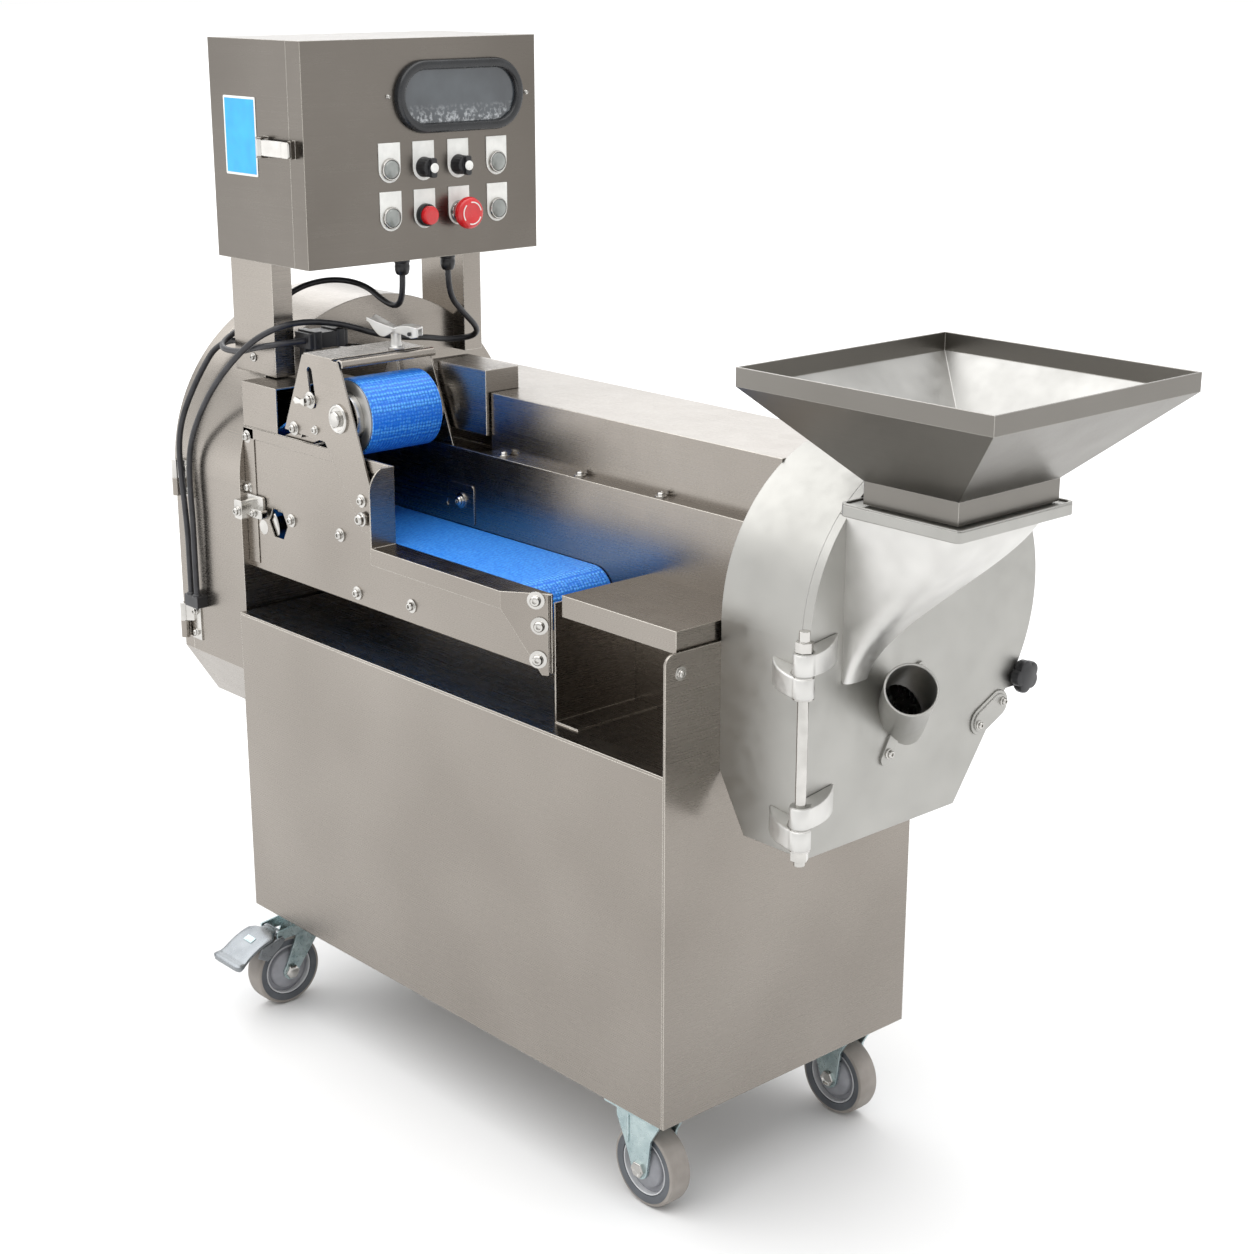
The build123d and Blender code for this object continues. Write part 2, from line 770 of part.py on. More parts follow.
save(leaf_knives.part, "leaf_knives")

# Press frame: two profiled side plates joined by a channel, with inner arms that carry the
# nose roller down into the mouth
press_pivot = (ex - press_pivot_x, press_pivot_z)
drum_axis = (ex - drum_x, drum_z)
nose_axis = (ex - nose_x, nose_z)
arm_heel = (ex - drum_x - 44, drum_z - 18)
press_plane_y = (fy + press_front, fy + press_back)
inner_arm_y = (
    conveyor_inner_front + nose_arm_gap,
    wall_y - nose_arm_gap - press_plate,
)
with BuildPart() as press_frame:
    for plate_y in press_plane_y:
        with BuildSketch(Plane.XZ.offset(-plate_y)):
            with BuildLine():
                Polyline(
                    (drum_axis[0] - 76, drum_z + 70),
                    (drum_axis[0] + 2, drum_z + 70),
                    (press_pivot[0] + press_arm_radius, press_pivot_z + 30),
                    (press_pivot[0] + press_arm_radius, press_pivot_z),
                    (press_pivot[0] - press_arm_radius, press_pivot_z),
                    (drum_axis[0] - 33, drum_z - 34),
                    (drum_axis[0] - 122, drum_z - 31),
                    close=True,
                )
            make_face()
            with Locations(press_pivot):
                Circle(press_arm_radius)
                Circle(journal_radius / 2 + fit_gap, mode=Mode.SUBTRACT)
            with Locations(drum_axis):
                Circle(journal_radius + fit_gap, mode=Mode.SUBTRACT)
            slot_middle = (drum_axis[0] - 58, drum_z + 31)
            with Locations(Location((*slot_middle, 0), (0, 0, 100))):
                SlotOverall(press_slot_length, press_slot_width, mode=Mode.SUBTRACT)
        extrude(amount=-press_plate)
    for arm_y in inner_arm_y:
        with BuildSketch(Plane.XZ.offset(-arm_y)):
            arm_run = (nose_axis[0] - arm_heel[0], nose_axis[1] - arm_heel[1])
            arm_middle = (arm_heel[0] + arm_run[0] / 2, arm_heel[1] + arm_run[1] / 2)
            arm_angle = degrees(atan2(arm_run[1], arm_run[0]))
            with Locations(Location((*arm_middle, 0), (0, 0, arm_angle))):
                SlotCenterToCenter(hypot(*arm_run), nose_arm_width)
            with Locations(nose_axis):
                Circle(journal_radius / 2 + fit_gap, mode=Mode.SUBTRACT)
        extrude(amount=-press_plate)
    spacer_gap = inner_arm_y[0] - press_plane_y[0] - press_plate
    with BuildSketch(Plane.XZ.offset(-press_plane_y[0] - press_plate)):
        with Locations((arm_heel[0] - 50, arm_heel[1] - 16), (arm_heel[0], arm_heel[1])):
            Circle(journal_radius / 2)
    extrude(amount=-spacer_gap)
    with BuildSketch(Plane.XZ.offset(-inner_arm_y[1] - press_plate)):
        with Locations((arm_heel[0] - 50, arm_heel[1] - 16), (arm_heel[0], arm_heel[1])):
            Circle(journal_radius / 2)
    extrude(amount=-(press_plane_y[1] - inner_arm_y[1] - press_plate))
    tie_left = drum_axis[0] - 72
    tie_span = press_plane_y[1] + press_plate - press_plane_y[0]
    with BuildSketch(Plane.XY.offset(drum_z + 70)):
        with Locations((tie_left, press_plane_y[0])):
            Rectangle(tie_bar_width, tie_span, align=(Align.MIN, Align.MIN))
        with Locations((ex - wing_x, fy + wing_y)):
            Circle(wing_screw_radius + fit_gap, mode=Mode.SUBTRACT)
    extrude(amount=press_plate)
save(press_frame.part, "press_frame")

# Wing handle: a cast lever on a short screw through the tie bar
with BuildPart() as wing_handle:
    wing_base_z = drum_z + 70 + press_plate
    with BuildSketch(Plane.XY.offset(drum_z + 70)):
        with Locations((ex - wing_x, fy + wing_y)):
            Circle(wing_screw_radius)
    extrude(amount=press_plate)
    with BuildSketch(Plane.XY.offset(wing_base_z)) as wing_foot:
        with Locations((ex - wing_x, fy + wing_y)):
            Circle(10)
    with BuildSketch(Plane.XY.offset(wing_base_z + 22)):
        with Locations((ex - wing_x, fy + wing_y)):
            Circle(7)
    loft()
    with BuildSketch(Plane.XZ.offset(-fy - wing_y - 5)):
        with Locations((ex - wing_x, wing_base_z + 28)):
            SlotOverall(64, 16)
    extrude(amount=10)
save(wing_handle.part, "wing_handle")

# Press belt round the drum and the nose roller
with BuildPart() as press_belt:
    with BuildSketch(Plane.XZ.offset(-fy - press_belt_front)):
        for inset, mode in ((belt_thickness, Mode.ADD), (0, Mode.SUBTRACT)):
            with BuildSketch(mode=Mode.PRIVATE) as loop:
                with Locations(drum_axis):
                    Circle(drum_radius + seat_gap + inset)
                with Locations(nose_axis):
                    Circle(nose_radius + seat_gap + inset)
                make_hull()
            add(loop.sketch, mode=mode)
    extrude(amount=-press_belt_width)
save(press_belt.part, "press_belt")

# Press drum with its end collars and journals
with BuildPart() as press_drum:
    drum_span = press_plane_y[1] - press_plane_y[0] - press_plate
    with BuildSketch(Plane.XZ.offset(-press_plane_y[0] - press_plate - nose_arm_gap)):
        with Locations(drum_axis):
            Circle(drum_collar_radius)
    extrude(amount=-(drum_span - 2 * nose_arm_gap))
    with BuildSketch(Plane.XZ.offset(-fy - press_belt_front)):
        with Locations(drum_axis):
            Circle(drum_radius)
    extrude(amount=-press_belt_width)
    with BuildSketch(Plane.XZ.offset(-press_plane_y[0] + press_plate)):
        with Locations(drum_axis):
            Circle(journal_radius)
    extrude(amount=-(drum_span + 4 * press_plate))
save(press_drum.part, "press_drum")

with BuildPart() as press_nose:
    with BuildSketch(Plane.XZ.offset(-fy - press_belt_front)):
        with Locations(nose_axis):
            Circle(nose_radius)
    extrude(amount=-press_belt_width)
    with BuildSketch(Plane.XZ.offset(-inner_arm_y[0])):
        with Locations(nose_axis):
            Circle(journal_radius / 2)
    extrude(amount=-(inner_arm_y[1] + press_plate - inner_arm_y[0]))
save(press_nose.part, "press_nose_roller")

# Columns: two hollow posts cut to sit on the leaf head's round top
column_base_z = throat_top + clear_gap
column_ys = (fy + box_y + column_inset, fy + box_y + box_width - column_inset - column_depth)
with BuildPart() as columns:
    for column_y in column_ys:
        with BuildSketch(Plane.XY.offset(column_base_z)):
            with Locations((ex - column_x, column_y)):
                Rectangle(column_width, column_depth, align=(Align.CENTER, Align.MIN))
            with Locations((ex - column_x, column_y + column_wall)):
                Rectangle(
                    column_width - 2 * column_wall,
                    column_depth - 2 * column_wall,
                    align=(Align.CENTER, Align.MIN),
                    mode=Mode.SUBTRACT,
                )
        extrude(amount=box_bottom - column_base_z)
    with BuildSketch(Plane.YZ.offset(leaf_left_x)):
        add(leaf_outline(0))
    extrude(amount=leaf_head_depth, mode=Mode.SUBTRACT)
save(columns.part, "box_columns")

# Control box: an open-fronted case with the fixed half of its door hinges and the latch seat
box_left_x = ex - box_front - box_depth
door_back_x = ex - box_front - box_door_depth
box_back_y = fy + box_y + box_width
box_hinge_x = door_back_x - seat_gap
box_hinge_y = box_back_y + box_hinge_radius + seat_gap
box_hinge_z = (box_bottom + box_hinge_inset, box_bottom + box_height - box_hinge_inset)
latch_y = fy + box_y - latch_stand
latch_pivot_x = door_back_x - latch_reach
with BuildPart() as control_box:
    with BuildSketch(Plane.XY.offset(box_bottom)):
        with Locations((box_left_x, fy + box_y)):
            Rectangle(door_back_x - box_left_x, box_width, align=(Align.MIN, Align.MIN))
    extrude(amount=box_height)
    offset(amount=-sheet, openings=control_box.faces().sort_by(Axis.X)[-1])
    for hinge_z in box_hinge_z:
        with BuildSketch(Plane.XY.offset(hinge_z)):
            with Locations((box_hinge_x, box_hinge_y)):
                Circle(box_hinge_radius)
            with Locations((box_hinge_x, box_back_y)):
                Rectangle(box_hinge_leaf, box_hinge_radius, align=(Align.MAX, Align.MIN))
        extrude(amount=box_hinge_height / 2)
        with BuildSketch(Plane.XY.offset(hinge_z - box_hinge_height / 2)):
            with Locations((box_hinge_x, box_hinge_y)):
                Circle(box_hinge_radius / 2)
        extrude(amount=box_hinge_height / 2)
    for side in (-1, 1):
        with BuildSketch(Plane.XY.offset(latch_z + side * latch_width / 2)):
            with Locations((latch_pivot_x, fy + box_y)):
                Rectangle(latch_width / 2, latch_stand, align=(Align.CENTER, Align.MAX))
            with Locations((latch_pivot_x, latch_y)):
                Circle(latch_width / 4)
        extrude(amount=side * sheet)
    with BuildSketch(Plane.XY.offset(latch_z - latch_width / 2)):
        with Locations((latch_pivot_x, latch_y)):
            Circle(latch_pin_radius)
    extrude(amount=latch_width)
save(control_box.part, "control_box")

# Control door: a dished panel with the window cut-out, the holes for the controls, the
# moving half of the hinges and the catch for the latch
control_points = [
    (fy + column_y, row_z) for row_z in control_row_z for column_y in control_column_y
]
door_front_x = ex - box_front
catch_x = door_back_x + latch_catch_inset
with BuildPart() as control_door:
    with BuildSketch(Plane.YZ.offset(door_back_x + seat_gap)):
        with Locations((fy + box_y, box_bottom)):
            Rectangle(box_width, box_height, align=(Align.MIN, Align.MIN))
    extrude(amount=box_door_depth - seat_gap)
    offset(amount=-sheet, openings=control_door.faces().sort_by(Axis.X)[0])
    with BuildSketch(Plane.YZ.offset(door_front_x - sheet)):
        with Locations((fy + window_y, window_z)):
            SlotOverall(window_width - 2 * window_lap, window_height - 2 * window_lap)
        with Locations(*control_points):
            Circle(control_stem_radius + fit_gap)
    extrude(amount=sheet, mode=Mode.SUBTRACT)
    for hinge_z in box_hinge_z:
        with BuildSketch(Plane.XY.offset(hinge_z - box_hinge_height / 2)):
            with Locations((box_hinge_x, box_hinge_y)):
                Circle(box_hinge_radius)
            with Locations((door_back_x + seat_gap, box_back_y)):
                Rectangle(box_hinge_leaf, box_hinge_radius, align=(Align.MIN, Align.MIN))
            with Locations((box_hinge_x, box_hinge_y)):
                Circle(box_hinge_radius / 2 + fit_gap, mode=Mode.SUBTRACT)
        extrude(amount=box_hinge_height / 2 - seat_gap)
    with BuildSketch(Plane.XZ.offset(-fy - box_y)):
        with Locations((catch_x, latch_z)):
            Rectangle(latch_catch_length, latch_width)
    extrude(amount=latch_stand - latch_thickness / 2 - seat_gap)
save(control_door.part, "control_door")

# Latch lever: swings on its pin and lies over the door's catch
with BuildPart() as latch:
    lever_end_x = catch_x + latch_catch_length
    with BuildSketch(Plane.XY.offset(latch_z - latch_width / 2 + seat_gap)):
        with Locations((latch_pivot_x, latch_y)):
            Circle(latch_width / 4)
        with Locations((latch_pivot_x, latch_y)):
            Rectangle(
                lever_end_x - latch_pivot_x, latch_thickness, align=(Align.MIN, Align.CENTER)
            )
        with Locations((latch_pivot_x, latch_y)):
            Circle(latch_pin_radius + fit_gap, mode=Mode.SUBTRACT)
    extrude(amount=latch_width - 2 * seat_gap)
save(latch.part, "latch_lever")

# Display window: a thick rubber rim with a pane, seated in the door's cut-out
with BuildPart() as display_window:
    with BuildSketch(Plane.YZ.offset(door_front_x)):
        with Locations((fy + window_y, window_z)):
            SlotOverall(window_width, window_height)
            SlotOverall(
                window_width - 2 * window_bead, window_height - 2 * window_bead, mode=Mode.SUBTRACT
            )
    extrude(amount=window_thickness)
    fillet(display_window.edges().group_by(Axis.X)[-1], 3)
    with BuildSketch(Plane.YZ.offset(door_front_x - sheet)):
        with Locations((fy + window_y, window_z)):
            SlotOverall(
                window_width - 2 * window_lap - 2 * seat_gap,
                window_height - 2 * window_lap - 2 * seat_gap,
            )
    extrude(amount=2 * sheet)
save(display_window.part, "display_window")


def control(shape_radius, height, at, stand_off=seat_gap):
    """A panel control: a round head standing off the door on a stem through its hole."""
    with BuildPart() as piece:
        with BuildSketch(Plane.YZ.offset(door_front_x + stand_off)):
            with Locations(at):
                Circle(shape_radius)
        extrude(amount=height, taper=2)
        with BuildSketch(Plane.YZ.offset(door_front_x - control_stem_length)):
            with Locations(at):
                Circle(control_stem_radius)
        extrude(amount=control_stem_length + stand_off)
        fillet(piece.edges().filter_by(GeomType.CIRCLE).sort_by(Axis.X)[-1], 2)
    return piece.part


lamp_points = (control_points[0], control_points[3], control_points[4], control_points[7])
save(Compound(children=[control(lamp_radius, lamp_height, at) for at in lamp_points]), "pilot_lamps")
save(control(knob_radius, knob_height, control_points[1]), "selector_knob_left")
save(control(knob_radius, knob_height, control_points[2]), "selector_knob_right")
button_gap = button_travel + seat_gap
stop_gap = stop_travel + seat_gap
save(control(button_radius, button_height - button_gap, control_points[5], button_gap), "red_button")
save(control(stop_radius, stop_height - stop_gap, control_points[6], stop_gap), "emergency_stop")

# Cable fittings: two glands under the control box, the clip block on its post, a grommet on
# the column and the switch by the lower hinge where two cables end
gland_points = ((ex - 734, fy + 211), (ex - 734, fy + 286))
gland_end_z = box_bottom - gland_height
clip_front_y = fy + 88
clip_top_z = 930.0
clip_x = 791.0
clip_post_x = 802.0
switch_top_z = 556.0
grommet_point = (fy + 78, 904.0)
with BuildPart() as glands:
    with BuildSketch(Plane.XY.offset(box_bottom)):
        with Locations(*gland_points):
            RegularPolygon(gland_radius, 6)
    extrude(amount=-gland_height / 2)
    with BuildSketch(Plane.XY.offset(box_bottom)):
        with Locations(*gland_points):
            Circle(gland_radius * 0.75)
    extrude(amount=-gland_height)
with BuildPart() as clip_post:
    with BuildSketch(Plane.XY.offset(throat_top)):
        with Locations((ex - clip_post_x, clip_front_y + clip_post_size)):
            Rectangle(clip_post_size, clip_post_size)
    extrude(amount=clip_top_z - clip_height - throat_top)
    with BuildSketch(Plane.XY.offset(clip_top_z - clip_height)):
        with Locations((ex - clip_x, clip_front_y)):
            Rectangle(clip_width, clip_length, align=(Align.CENTER, Align.MIN))
    extrude(amount=clip_height)
with BuildPart() as grommet:
    with BuildSketch(Plane.YZ.offset(ex - column_x - column_width / 2)):
        with Locations(grommet_point):
            Circle(cable_radius * 1.5)
    extrude(amount=-3)
with BuildPart() as switch:
    with BuildSketch(Plane.XZ.offset(-fy - leaf_centre_y + leaf_head_radius)):
        with Locations((ex - 956, switch_top_z)):
            Rectangle(switch_width, switch_height, align=(Align.CENTER, Align.MAX))
    extrude(amount=switch_width / 2)
save(
    Compound(children=[glands.part, clip_post.part, grommet.part, switch.part]),
    "cable_fittings",
)

# Cables, each on the route that the photograph shows, held at both ends
cable_routes = {
    "cable_over_head": (
        (734, 211, gland_end_z),
        (734, 211, 973),
        (752, 215, 955),
        (790, 221, 957),
        (838, 224, 975),
        (872, 197, 982),
        (880, 150, 976),
        (888, 120, 957),
        (919, 110, 936),
        (938, 91, 919),
        (938, 63, 906),
        (919, 44, 898),
        (868, 41, 900),
        (824, 36, 912),
        (785, 48, 920),
        (785, 88, 920),
    ),
    "cable_front_inner": (
        (734, 286, gland_end_z),
        (734, 286, 967),
        (737, 311, 941),
        (742, 342, 914),
        (761, 349, 901),
        (780, 342, 896),
        (792, 323, 895),
        (789, 290, 902),
        (785, 245, 907),
        (785, 200, 917),
        (785, 155, 934),
        (785, 104, 944),
        (789, 66, 944),
        (808, 38, 931),
        (838, 24, 907),
        (886, 11, 859),
        (925, 5, 806),
        (948, 4, 762),
        (951, 3, 715),
        (948, 3, 665),
        (949, 3, 610),
        (949, 3, switch_top_z),
    ),
    "cable_front_outer": (
        (916, 78, 904),
        (943, 78, 904),
        (959, 60, 893),
        (962, 43, 870),
        (967, 23, 834),
        (972, 9, 798),
        (975, 4, 764),
        (972, 3, 725),
        (967, 3, 680),
        (965, 4, 635),
        (964, 3, 596),
        (964, 3, switch_top_z),
    ),
}
for cable_name, places in cable_routes.items():
    route = [Vector(ex - reach, fy + depth, height) for reach, depth, height in places]
    runs = [b - a for a, b in zip(route, route[1:])]
    radii = [
        0.45 * min(before.length, after.length) / tan(radians(before.get_angle(after)) / 2)
        for before, after in zip(runs, runs[1:])
    ]
    with BuildPart() as cable:
        with BuildLine() as path:
            FilletPolyline(*route, radius=radii)
        with BuildSketch(Plane(origin=route[0], z_dir=runs[0])):
            Circle(cable_radius)
        sweep()
    save(cable.part, cable_name)
    cable_length = path.wires()[0].length
    fill = cable.part.volume / (pi * cable_radius**2 * cable_length)
    print(cable_name, "length", round(cable_length), "fill", round(fill, 3))
    print("radii", [round(radius, 1) for radius in radii])


# Disc cutting head
def disc_outline(inset):
    """Round top, straight front, a flat bottom and a slanting back edge."""
    radius = disc_head_radius - inset
    centre = (fy + disc_centre_y, disc_centre_z)
    with BuildSketch() as outline:
        with BuildLine():
            arc = CenterArc(centre, radius, -disc_back_angle, 180 + disc_back_angle)
            Polyline(
                arc @ 1,
                (fy + disc_centre_y - radius, disc_head_bottom),
                (fy + disc_bottom_back - inset, disc_head_bottom),
                arc @ 0,
            )
        make_face()
    return outline.sketch


star_y = fy + disc_centre_y + sqrt(disc_head_radius**2 - (star_knob_z - disc_centre_z) ** 2) + 14


def latch_lug(bore):
    """The ear behind the head's back edge, bored for the star knob's screw."""
    with BuildSketch() as lug:
        with Locations((star_y, star_knob_z)):
            Rectangle(2 * latch_lug_height, latch_lug_height, align=(Align.MAX, Align.CENTER))
            Circle(latch_lug_height / 2)
            Circle(bore, mode=Mode.SUBTRACT)
    return lug.sketch


with BuildPart() as disc_head:
    with BuildSketch(Plane.YZ.offset(ex)):
        add(disc_outline(0))
    extrude(amount=disc_head_width)
    with BuildSketch(Plane.YZ.offset(ex + sheet)):
        add(disc_outline(sheet))
    extrude(amount=disc_head_width - sheet, mode=Mode.SUBTRACT)
    with BuildSketch(Plane.XY.offset(disc_head_bottom)):
        with Locations((ex + sheet, fy + disc_centre_y - disc_head_radius + sheet)):
            Rectangle(
                disc_head_width,
                disc_bottom_back - disc_centre_y + disc_head_radius - 2 * sheet,
                align=(Align.MIN, Align.MIN),
            )
    extrude(amount=sheet, mode=Mode.SUBTRACT)
    with BuildSketch(Plane.YZ.offset(ex)):
        with Locations((fy + disc_centre_y, disc_centre_z)):
            Circle(disc_shaft_radius + fit_gap)
    extrude(amount=sheet, mode=Mode.SUBTRACT)
    with BuildSketch(Plane.XZ.offset(-fy)):
        with BuildLine():
            Polyline(
                (ex, disc_head_bottom - 1),
                (ex, disc_cut_z),
                (ex + disc_cut_x, disc_head_bottom - 1),
                close=True,
            )
        make_face()
    extrude(amount=-cabinet_depth, mode=Mode.SUBTRACT)
    with BuildSketch(Plane.YZ.offset(ex + disc_head_width - latch_lug_depth)):
        add(latch_lug(star_screw_radius + star_bore_gap))
    extrude(amount=latch_lug_depth)
    with BuildSketch(Plane.YZ.offset(ex + disc_head_width - latch_lug_depth)):
        add(disc_outline(sheet))
    extrude(amount=latch_lug_depth, mode=Mode.SUBTRACT)
save(disc_head.part, "disc_head_housing")

# Slicing disc with its hub, and the shaft back through the head to the pulley
disc_x = ex + disc_head_width - disc_recess
with BuildPart() as slicing_disc:
    with BuildSketch(Plane.YZ.offset(disc_x)):
        with Locations((fy + disc_centre_y, disc_centre_z)):
            Circle(slicing_disc_radius)
            with PolarLocations(slicing_disc_radius * 0.58, 3):
                SlotOverall(slicing_disc_radius * 0.6, 10, mode=Mode.SUBTRACT)
            Circle(disc_shaft_radius, mode=Mode.SUBTRACT)
    extrude(amount=slicing_disc_thickness)
    with BuildSketch(Plane.YZ.offset(disc_x)):
        with Locations((fy + disc_centre_y, disc_centre_z)):
            Circle(disc_hub_radius)
            Circle(disc_shaft_radius, mode=Mode.SUBTRACT)
    extrude(amount=-disc_hub_length)
save(slicing_disc.part, "slicing_disc")

disc_pulley_left = ex - disc_pulley_x - drive_belt_width / 2
with BuildPart() as disc_shaft:
    with BuildSketch(Plane.YZ.offset(disc_pulley_left - disc_shaft_tail)):
        with Locations((fy + disc_centre_y, disc_centre_z)):
            Circle(disc_shaft_radius)
    extrude(amount=disc_x + slicing_disc_thickness - disc_pulley_left + disc_shaft_tail)
    with BuildSketch(Plane.YZ.offset(disc_pulley_left)):
        with Locations((fy + disc_centre_y, disc_centre_z)):
            Circle(disc_pulley_radius)
    extrude(amount=drive_belt_width)
save(disc_shaft.part, "disc_shaft")

door_inner_x = ex + disc_head_width + seat_gap
door_outer_x = ex + disc_head_width + disc_door_thickness


# Disc head hinge: a rod with cast eyes, the lower eye of each pair fixed to the housing
def cast_eye(base_z, toward_x, toward_y):
    """A round eye on the rod with a lug that reaches to the piece it is screwed to."""
    with BuildPart() as eye:
        with BuildSketch(Plane.XY.offset(base_z)):
            with Locations((ex + hinge_rod_x, fy + hinge_rod_y)):
                Circle(hinge_barrel_radius)
            with BuildLine():
                Polyline(
                    (ex + hinge_rod_x - hinge_barrel_radius * 0.7, fy + hinge_rod_y - 8),
                    (ex + hinge_rod_x + 6, fy + hinge_rod_y + 9),
                    toward_x,
                    toward_y,
                    close=True,
                )
            make_face()
            with Locations((ex + hinge_rod_x, fy + hinge_rod_y)):
                Circle(hinge_rod_radius + fit_gap, mode=Mode.SUBTRACT)
        extrude(amount=hinge_barrel_height)
    return eye.part


front_wall_y = fy + disc_centre_y - disc_head_radius
fixed_eyes = [
    cast_eye(z, (ex + disc_head_width - 12, front_wall_y), (ex + disc_head_width - 40, front_wall_y))
    for z in hinge_level_z
]
door_eyes = [
    cast_eye(
        z + hinge_barrel_height + seat_gap,
        (door_outer_x, front_wall_y + 34),
        (door_outer_x, front_wall_y + 6),
    )
    for z in hinge_level_z
]
nut_seat_z = hinge_level_z[1] + 2 * hinge_barrel_height + 2 * seat_gap
with BuildPart() as hinge_rod:
    with BuildSketch(Plane.XY.offset(hinge_rod_bottom)):
        with Locations((ex + hinge_rod_x, fy + hinge_rod_y)):
            Circle(hinge_rod_radius)
    extrude(amount=hinge_rod_top - hinge_rod_bottom)
    for z in (hinge_level_z[0] - hinge_barrel_radius, nut_seat_z):
        with BuildSketch(Plane.XY.offset(z)):
            with Locations((ex + hinge_rod_x, fy + hinge_rod_y)):
                RegularPolygon(hinge_barrel_radius * 0.9, 6)
        extrude(amount=hinge_barrel_radius)
save(Compound(children=[hinge_rod.part, leaf_hinges.part] + fixed_eyes), "fixed_hinges")

# Feed tube: a cylinder set into the door at a slant
tube_plane = Plane(
    origin=(ex + disc_head_width + disc_door_thickness, fy + tube_root_y, tube_root_z),
    z_dir=tube_direction,
)

# The scoop's outline on the door, from the tray down to its rounded foot
neck_left = hopper_x - neck_length / 2
neck_front = hopper_y - neck_width / 2
scoop_top_z = tray_top - tray_height
scoop_wall = sheet
spigot_length = neck_length - 4 * scoop_wall - 2 * spigot_gap
spigot_width = neck_width - 4 * scoop_wall - 2 * spigot_gap


def scoop_solid(inset):
    """A chute that narrows from the tray's mouth to a small foot on the door."""
    reach = ex + hopper_x + neck_length / 2 - inset - door_outer_x
    with BuildPart() as body:
        with BuildSketch(Plane.XY.offset(scoop_top_z)):
            with Locations((door_outer_x - scoop_radius, fy + neck_front + inset)):
                RectangleRounded(
                    reach + scoop_radius,
                    neck_width - 2 * inset,
                    scoop_radius - inset,
                    align=(Align.MIN, Align.MIN),
                )
        with BuildSketch(Plane.XY.offset(scoop_bottom_z + inset)):
            with Locations((door_outer_x - scoop_radius, fy + scoop_bottom_front + inset)):
                RectangleRounded(
                    scoop_bottom_reach + scoop_radius - inset,
                    scoop_bottom_width - 2 * inset,
                    scoop_radius / 2 - inset,
                    align=(Align.MIN, Align.MIN),
                )
        loft()
        split(bisect_by=Plane.YZ.offset(door_outer_x), keep=Keep.TOP)
    return body.part


scoop_outer = scoop_solid(0)
scoop_inner = scoop_solid(scoop_wall)
with BuildPart() as disc_door:
    with BuildSketch(Plane.YZ.offset(door_inner_x)):
        add(disc_outline(0))
        add(latch_lug(star_screw_radius + fit_gap))
    extrude(amount=disc_door_thickness - seat_gap)
    with BuildSketch(Plane.YZ.offset(door_inner_x)):
        add(disc_outline(2 * disc_door_thickness))
    extrude(amount=disc_door_thickness - seat_gap - door_skin, mode=Mode.SUBTRACT)
    with BuildSketch(Plane.YZ.offset(door_inner_x)):
        with BuildLine():
            Polyline(
                (fy + neck_front + scoop_wall, scoop_top_z - scoop_wall),
                (fy + neck_front + neck_width - scoop_wall, scoop_top_z - scoop_wall),
                (fy + scoop_bottom_front + scoop_bottom_width - scoop_wall, scoop_bottom_z + scoop_wall),
                (fy + scoop_bottom_front + scoop_wall, scoop_bottom_z + scoop_wall),
                close=True,
            )
        make_face()
    extrude(amount=disc_door_thickness, mode=Mode.SUBTRACT)
    with BuildSketch(tube_plane.offset(-40)):
        Circle(tube_radius - sheet + tube_bore_relief)
    extrude(amount=40 + tube_bore_start, mode=Mode.SUBTRACT)
    for eye in door_eyes:
        add(eye)
save(disc_door.part, "disc_door")

with BuildPart() as feed_tube:
    with BuildSketch(tube_plane.offset(-40)):
        Circle(tube_radius)
        Circle(tube_radius - sheet, mode=Mode.SUBTRACT)
    extrude(amount=40 + tube_length)
    split(bisect_by=Plane.YZ.offset(door_outer_x), keep=Keep.TOP)
    with BuildSketch(Plane.YZ.offset(door_outer_x)):
        with Locations(Location((fy + tube_root_y, tube_root_z, 0), (0, 0, tube_strap_angle))):
            SlotOverall(tube_strap_length, tube_strap_width)
    extrude(amount=tube_strap_thickness)
    with BuildSketch(tube_plane.offset(-40)):
        Circle(tube_radius - sheet + tube_bore_relief)
    extrude(amount=40 + tube_bore_start, mode=Mode.SUBTRACT)
save(feed_tube.part, "feed_tube")

# Scoop and the tray that carries the hopper
with BuildPart() as scoop:
    add(scoop_outer)
    add(scoop_inner, mode=Mode.SUBTRACT)
    with BuildSketch(Plane.XY.offset(scoop_top_z)):
        with Locations((door_outer_x, fy + hopper_y)):
            Rectangle(
                hopper_x + neck_length / 2 + tray_border - disc_head_width - disc_door_thickness,
                neck_width + 2 * tray_border,
                align=(Align.MIN, Align.CENTER),
            )
        with Locations((ex + hopper_x, fy + hopper_y)):
            Rectangle(
                spigot_length + 2 * spigot_gap, spigot_width + 2 * spigot_gap, mode=Mode.SUBTRACT
            )
    extrude(amount=tray_height)
save(scoop.part, "disc_scoop")

